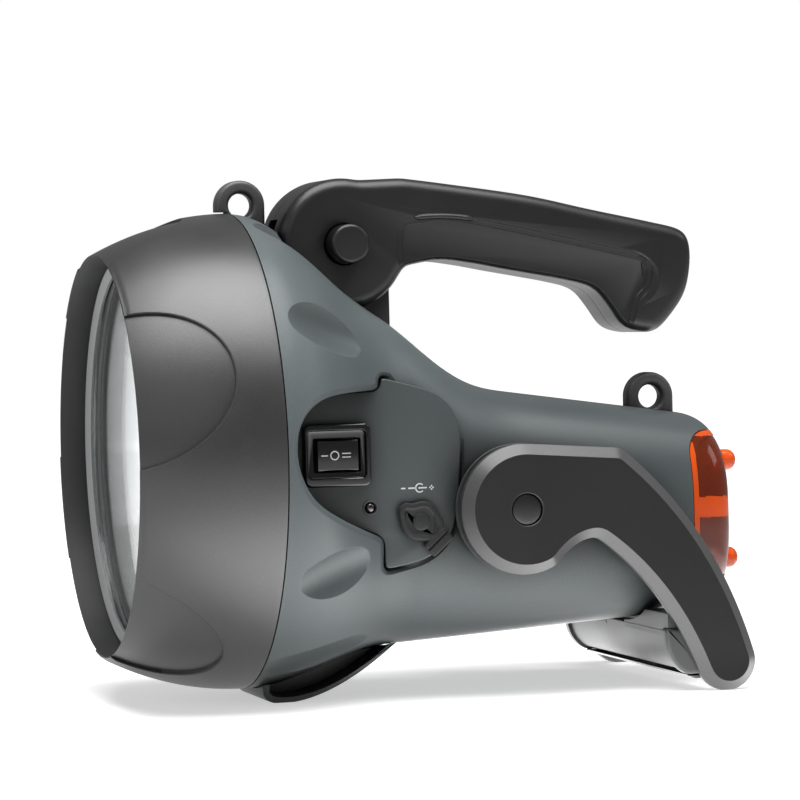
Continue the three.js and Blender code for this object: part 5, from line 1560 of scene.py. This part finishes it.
def make_handle():
    stations = rounded_stations(-HANDLE_HALF_WIDTH, HANDLE_HALF_WIDTH, HANDLE_ROUND, HANDLE_ROUND, 8)
    body = slab("handle_shell", handle_loop(), stations)
    loop = eased(evenly(spline(grip_points(GRIP_PANEL_SHARES), 10), PANEL_PITCH), 3)
    deep = HANDLE_HALF_WIDTH - GRIP_PANEL_DEPTH
    step = deep + GRIP_PANEL_DEPTH / 2
    stages = shifted(STEP_FOOT, deep, GRIP_STEP) + shifted(STEP_EDGE, step, GRIP_STEP)
    stages += shifted(STEP_FOOT, step, 0) + shifted(PANEL_MOUTH, HANDLE_HALF_WIDTH, 0)
    for side in (-1, 1):
        tools = [
            slab("cutter", loop, stages),
            bead(spline(grip_points(GRIP_RIM_SHARES)), GRIP_RIM_HALF, deep),
            bead(spline(grip_points(GRIP_BEAD_SHARES)), GRIP_BEAD_HALF, HANDLE_HALF_WIDTH),
        ]
        if side < 0:
            tools = [flip(tool) for tool in tools]
        cut(body, tools[0])
        join(body, *tools[1:])
    hole = (BUTTON_RADIUS + GAP, -HANDLE_HALF_WIDTH, BUTTON_HOLE_END_Y, BUTTON_HOLE_ROUND)
    cut(body, eye_cutter(*hole, PIVOT_X, PIVOT_Z))
    cut(body, *tongue_sweep())
    well_y = HANDLE_SCREW_HEAD_Y - SCREW_HEAD_HEIGHT - GAP
    spots = grip_points(HANDLE_SCREWS)
    cut(body, *[eye_cutter(SCREW_WELL, well_y, deep, SMALL_ROUND, x, z) for x, z in spots])
    far = PIVOT_X + GRIP_LENGTH + BEYOND
    place_halves(body, "handle", "handle", "handle_plastic", 0, far, HEAD_RADIUS, 0, 2 * PIVOT_Z)


def make_button():
    face = -HANDLE_HALF_WIDTH - BUTTON_PROUD
    turn = quarter(FILLET_STEPS + 1, BUTTON_ROUND)
    edge = [(face + face_in, BUTTON_RADIUS - side_in) for face_in, side_in in turn]
    profile = [(face, 0)] + edge + [(BUTTON_END_Y, BUTTON_RADIUS), (BUTTON_END_Y, 0)]
    button = turned_y("lock_button_face", profile, PIVOT_X, PIVOT_Z, BUTTON_STEPS)
    place(button, "lock_button", "handle_plastic", ["lock_button"])
    base = HANDLE_HALF_WIDTH + GAP
    end = base + CAP_THICKNESS
    edge = rolled(end, CAP_RADIUS, CAP_ROUND, FILLET_STEPS - 1)
    cap = turned_y("pivot_cap_face", [(base, 0), (base, CAP_RADIUS)] + edge + [(end, 0)], PIVOT_X, PIVOT_Z)
    place(cap, "handle", "handle_plastic", ["pivot_cap"])
    tongue = rounded_copy("pivot_bracket", "pivot_tongue", TONGUE_ROUND)
    place(tongue, "lamp", "handle_plastic", ["pivot_tongue"])


# Screws

def make_screw(name, x, z, head_y, shank, body):
    under = head_y - SCREW_HEAD_HEIGHT
    profile = [(under - shank, 0), (under - shank, SCREW_TIP), (under, SCREW_SHANK), (under, SCREW_HEAD)]
    profile += shifted(SCREW_DOME, head_y, SCREW_HEAD) + [(head_y, 0)]
    screw = turned_y(f"{name}_driven", profile, x, z, LED_STEPS)
    for wide, tall in (SCREW_SLOT, SCREW_SLOT[::-1]):
        low, top = head_y - SCREW_SLOT_DEPTH, head_y + PAST
        cut(screw, block("cutter", x - wide, x + wide, low, top, z - tall, z + tall))
    place(screw, body, "zinc_steel", [name])


def make_screws():
    for i, (x, z) in enumerate(screw_places(), 1):
        make_screw(f"housing_screw_{i}", x, z, SCREW_HEAD_Y, HOUSING_SCREW_LENGTH, "lamp")
    for i, (x, z) in enumerate(grip_points(HANDLE_SCREWS), 1):
        make_screw(f"handle_screw_{i}", x, z, HANDLE_SCREW_HEAD_Y, HANDLE_SCREW_LENGTH, "handle")


# Stand

def arm_loop():
    line = arc(STAND_X, STAND_Z, STAND_HUB_RADIUS, 90, STAND_HUB_END, 80)
    line += bend(line[-1], (CROOK[0] - CROOK_REACH, CROOK[1]), CROOK)
    tip = arc(TIP_X, TIP_Z, TIP_RADIUS, TIP_INNER, 360 + TIP_OUTER, 60)
    line += bend(CROOK, SHIN, tip[0], 40) + tip
    line += bend(tip[-1], SHOULDER, ELBOW, 50)
    return eased(evenly(line, LONG_PITCH), 3)


def make_arm(side):
    stations = [(ARM_Y, 0.0), (ARM_FACE_Y - ARM_BEVEL, 0.0), (ARM_FACE_Y, ARM_BEVEL)]
    arm = slab(f"stand_arm_{side}_shell", arm_loop(), stations)
    seat_y, room = ARM_FACE_Y - STAND_CAP_RECESS, STAND_CAP_RADIUS + GAP
    rim = shifted(STAND_CAP_RIM, ARM_FACE_Y, room)
    well = [(seat_y - GAP, 0), (seat_y - GAP, room)] + rim + [(rim[-1][0], 0)]
    cut(arm, turned_y("cutter", well, STAND_X, STAND_Z))
    cut(arm, ground_cutter())
    half = STAND_CAP_RECESS / 2
    dome = [
        (ARM_FACE_Y - half + half * math.sin(t), STAND_CAP_RADIUS * math.cos(t * STAND_CAP_DOME_SHARE))
        for t in np.linspace(0.2, math.pi / 2, 10)
    ]
    side_line = [(seat_y, 0), (seat_y, STAND_CAP_RADIUS), (ARM_FACE_Y - half, STAND_CAP_RADIUS)]
    cap = turned_y(f"stand_cap_{side}_face", side_line + dome, STAND_X, STAND_Z)
    if side == "left":
        flip(arm)
        flip(cap)
    place(arm, "stand", "arm_plastic", [f"stand_arm_{side}"])
    # Painted highlight: the bevel faces get a paler, glossier copy of the arm's plastic
    least, most = ARM_HIGHLIGHT_FACING
    paint_faces(arm, "arm_bevel_painted_highlight", lambda _, normal: least < abs(normal.y) < most)
    place(cap, "stand", "handle_plastic", [f"stand_cap_{side}"])


def bar_points(shares):
    tall = BAR_TOP_RISE - BAR_FOOT_RISE
    return [(BAR_X + a * BAR_LENGTH, GROUND_Z + BAR_FOOT_RISE + b * tall) for a, b in shares]


def ground_cutter(start=0):
    return block("cutter", start, 2 * HOUSING_LENGTH, -HEAD_RADIUS, HEAD_RADIUS, 2 * GROUND_Z, GROUND_Z)


def make_stand_frame():
    outer = LEG_Y + LEG_THICKNESS
    leg = slab("stand_frame_bent", arm_loop(), rounded_stations(LEG_Y, outer, *LEG_ROUNDS, 4))
    twin = flip(copy_of(leg, "leg"))
    line = spline(bar_points(BAR_FRONT_SHARES)) + spline(bar_points(BAR_BACK_SHARES))
    loop = eased(evenly(line, BAR_PITCH), 3)
    half = outer - BAR_INSET
    inner = half - BAR_FLANGE
    ends = rounded_stations(-half, half, BAR_ROUND, BAR_ROUND, 5)
    middle = len(ends) // 2
    waist = [(-inner, 0.0), (-inner, BAR_WAIST), (inner, BAR_WAIST), (inner, 0.0)]
    bar = slab("bar", loop, ends[:middle] + waist + ends[middle:])
    low, high = GROUND_Z + BAR_TOP_RISE - SADDLE_OVERLAP, GROUND_Z + BAR_TOP_RISE + SADDLE_RISE
    near, far = BAR_X + SADDLE_INSET, BAR_X + BAR_LENGTH * SADDLE_SHARE
    saddles = []
    for side in (-1, 1):
        saddle = block("saddle", near, far, side * SADDLE_FROM, side * (LEG_Y + PAST), low, high)
        stations = np.linspace(BAR_X - SKIN_REACH, HOUSING_LENGTH, 30)
        cut(saddle, loft("skin", stations, even_angles(COARSE_STEPS), -SADDLE_GAP))
        saddles.append(saddle)
    join(leg, bar, twin, *saddles)
    pin = rod_y("cutter", PIN_RADIUS + GAP, -HEAD_RADIUS, HEAD_RADIUS, STAND_X, STAND_Z)
    cut(leg, ground_cutter(), pin)
    place(leg, "stand", "stand_plastic", ["stand_frame"])
    top = GROUND_Z + BAR_FOOT_RISE - GAP
    foot = [(BAR_X + a * BAR_LENGTH, top - STRIP_THICKNESS + b * STRIP_THICKNESS) for a, b in STRIP_SHARES]
    edge = rounded_stations(-LEG_Y + GAP, LEG_Y - GAP, STRIP_ROUND, STRIP_ROUND, 4)
    strip = slab("foot_strip_face", evenly(foot, STRIP_PITCH), edge)
    # Painted light: the foot strip, moulded in the stand's plastic, gets a paler copy of it
    place(strip, "stand", "stand_plastic", ["stand_foot_strip"], "strip_plastic_painted_light")


# Painted shadow: the outward faces of the flange are painted with the dark inner plastic
def flange_painted_shadow(at, normal):
    return abs(normal.y) > FLANGE_SHADOW_FACING and abs(abs(at.y) - FLANGE_FACE_Y) < GAP


def make_bosses():
    bore = PIN_RADIUS + GAP
    edge = rolled(BOSS_FACE_Y, BOSS_RADIUS, BOSS_ROUND, 5)
    boss = turned_y("stand_boss_right_face", (
        [(BOSS_INNER_Y, bore), (BOSS_INNER_Y, BOSS_RADIUS), (BOSS_FACE_Y - BOSS_ROUND, BOSS_RADIUS)]
        + edge + shifted(BOSS_GROOVE, BOSS_FACE_Y, WASHER_RADIUS) + [(BOSS_FACE_Y, bore)]
    ), STAND_X, STAND_Z, BOSS_STEPS)
    stations = np.linspace(STAND_X - BOSS_REACH, STAND_X + BOSS_REACH, 40)
    cut(boss, loft("skin", stations, even_angles(360), -2 * GAP))
    inner = BOSS_RADIUS - FLANGE_OVERLAP
    rim = shifted(FLANGE_RIM, FLANGE_FACE_Y, FLANGE_RADIUS)
    back = FLANGE_FACE_Y - FLANGE_THICKNESS
    profile = [(back, inner), (back, FLANGE_RADIUS - FLANGE_EDGE)] + rim + [(FLANGE_FACE_Y, inner)]
    join(boss, turned_y("flange", profile, STAND_X, STAND_Z, BOSS_STEPS))
    y0, y1 = BOSS_FACE_Y + GAP, BOSS_FACE_Y + GAP + WASHER_THICKNESS
    trimmed = WASHER_RADIUS - WASHER_EDGE
    washer = turned_y("stand_washer_right_face", [
        (y0, bore), (y0, trimmed), (y0 + WASHER_EDGE, WASHER_RADIUS), (y1 - WASHER_EDGE, WASHER_RADIUS),
        (y1, trimmed), (y1, bore),
    ], STAND_X, STAND_Z, WASHER_STEPS)
    left_boss = flip(copy_of(boss, "stand_boss_left_face"))
    left_washer = flip(copy_of(washer, "stand_washer_left_face"))
    for side, face, ring in (("right", boss, washer), ("left", left_boss, left_washer)):
        place(face, "lamp", "housing_plastic", [f"stand_boss_{side}"])
        # Painted shadow on the flange's face
        paint_faces(face, "inner_plastic", flange_painted_shadow)
        place(ring, "stand", "zinc_steel", [f"stand_washer_{side}"])


# Stage, light and camera

def background_rays(tree):
    """1 for the camera's rays and those through glass, which see plain white, and a part for glossy rays."""
    rays = node(tree, "LightPath").outputs
    plain = maths(tree, "MAXIMUM", rays["Is Camera Ray"], rays["Is Transmission Ray"])
    return maths(tree, "MAXIMUM", plain, maths(tree, "MULTIPLY", rays["Is Glossy Ray"], GLOSSY_SHARE))


def make_stage():
    """A white floor that glows towards its edge, and more under the lamp in what glossy faces mirror."""
    bpy.ops.mesh.primitive_plane_add(size=FLOOR_SIZE)
    floor = bpy.context.object
    floor.name = "floor"
    look = bpy.data.materials.new("floor_white")
    look.use_nodes = True
    tree = look.node_tree
    tree.nodes.remove(tree.nodes["Principled BSDF"])
    at = own_place(tree)
    away = node(tree, "VectorMath", at, operation="LENGTH").outputs["Value"]
    fade = ramp(tree, away, *FLOOR_FADE_RANGE, FLOOR_GLOW_NEAR, FLOOR_GLOW_FAR)
    white = maths(tree, "MULTIPLY", fade, background_rays(tree))
    parts = node(tree, "SeparateXYZ", at).outputs
    taper = maths(tree, "MULTIPLY_ADD", parts["X"], FLOOR_SHADE_TAPER, maths(tree, "ABSOLUTE", parts["Y"]))
    under = ramp(tree, taper, FLOOR_SHADE_FROM, FLOOR_SHADE_TO, FLOOR_SHADE, 1.0)
    lit = maths(tree, "MULTIPLY", ramp(tree, away, 0, FLOOR_GLOSS_REACH, FLOOR_GLOSS, 0.0), under)
    shine = maths(tree, "MULTIPLY_ADD", lit, node(tree, "LightPath").outputs["Is Glossy Ray"], white)
    matte = node(tree, "BsdfDiffuse", Color=FLOOR_COLOUR).outputs["BSDF"]
    both = node(tree, "AddShader", matte, node(tree, "Emission", Strength=shine).outputs["Emission"])
    feed(tree, tree.nodes["Material Output"], Surface=both.outputs["Shader"])
    floor.data.materials.append(look)


def make_world():
    world = bpy.data.worlds.new("studio")
    bpy.context.scene.world = world
    world.use_nodes = True
    tree = world.node_tree
    dim = tree.nodes["Background"]
    feed(tree, dim, Color=WHITE, Strength=WORLD_STRENGTH)
    white = node(tree, "Background", Color=WHITE, Strength=1.0).outputs["Background"]
    mix = node(tree, "MixShader", background_rays(tree), dim.outputs["Background"], white)
    feed(tree, tree.nodes["World Output"], Surface=mix.outputs["Shader"])


def make_light(name, place_at, aim, width, height, power):
    data = bpy.data.lights.new(name, "AREA")
    data.shape = "RECTANGLE"
    data.size, data.size_y = width, height
    data.energy = power
    light = bpy.data.objects.new(name, data)
    bpy.context.scene.collection.objects.link(light)
    light.location = place_at
    light.rotation_euler = (Vector(aim) - Vector(place_at)).to_track_quat("-Z", "Y").to_euler()


def make_camera():
    level = math.cos(CAMERA_ELEVATION)
    back = Vector((
        math.sin(CAMERA_AZIMUTH) * level, -math.cos(CAMERA_AZIMUTH) * level, math.sin(CAMERA_ELEVATION),
    ))
    right = Vector((0, 0, 1)).cross(back).normalized()
    up = back.cross(right)
    turn, lift = math.cos(CAMERA_ROLL), math.sin(CAMERA_ROLL)
    right, up = turn * right - lift * up, lift * right + turn * up
    data = bpy.data.cameras.new("camera")
    data.lens = data.sensor_width * CAMERA_FOCAL_PIXELS / IMAGE_PIXELS
    data.clip_start, data.clip_end = CAMERA_CLIP
    camera = bpy.data.objects.new("camera", data)
    bpy.context.scene.collection.objects.link(camera)
    target = Vector(to_row([CAMERA_TARGET])[0])
    spot = target + back * CAMERA_DISTANCE * MM
    camera.matrix_world = Matrix([axes for axes in zip(right, up, back, spot)] + [(0, 0, 0, 1)])
    bpy.context.scene.camera = camera


bpy.context.scene.view_settings.view_transform = "Standard"
make_camera()
make_stage()
make_world()
for light_name, light in LIGHTS.items():
    make_light(light_name, *light)

paint_frame()
make_bezel()
make_optics()
make_housing()
make_plate()
make_plate_details()
make_switch()
make_cover()
make_tail()
make_screws()
make_ring("front_ring", "front_strap_ring", FRONT_RING_X, FRONT_RING_RISE)
make_ring("rear_ring", "rear_strap_ring", REAR_RING_X, REAR_RING_RISE)
make_keel()
make_handle()
make_button()
make_stand_frame()
make_bosses()
make_arm("left")
make_arm("right")
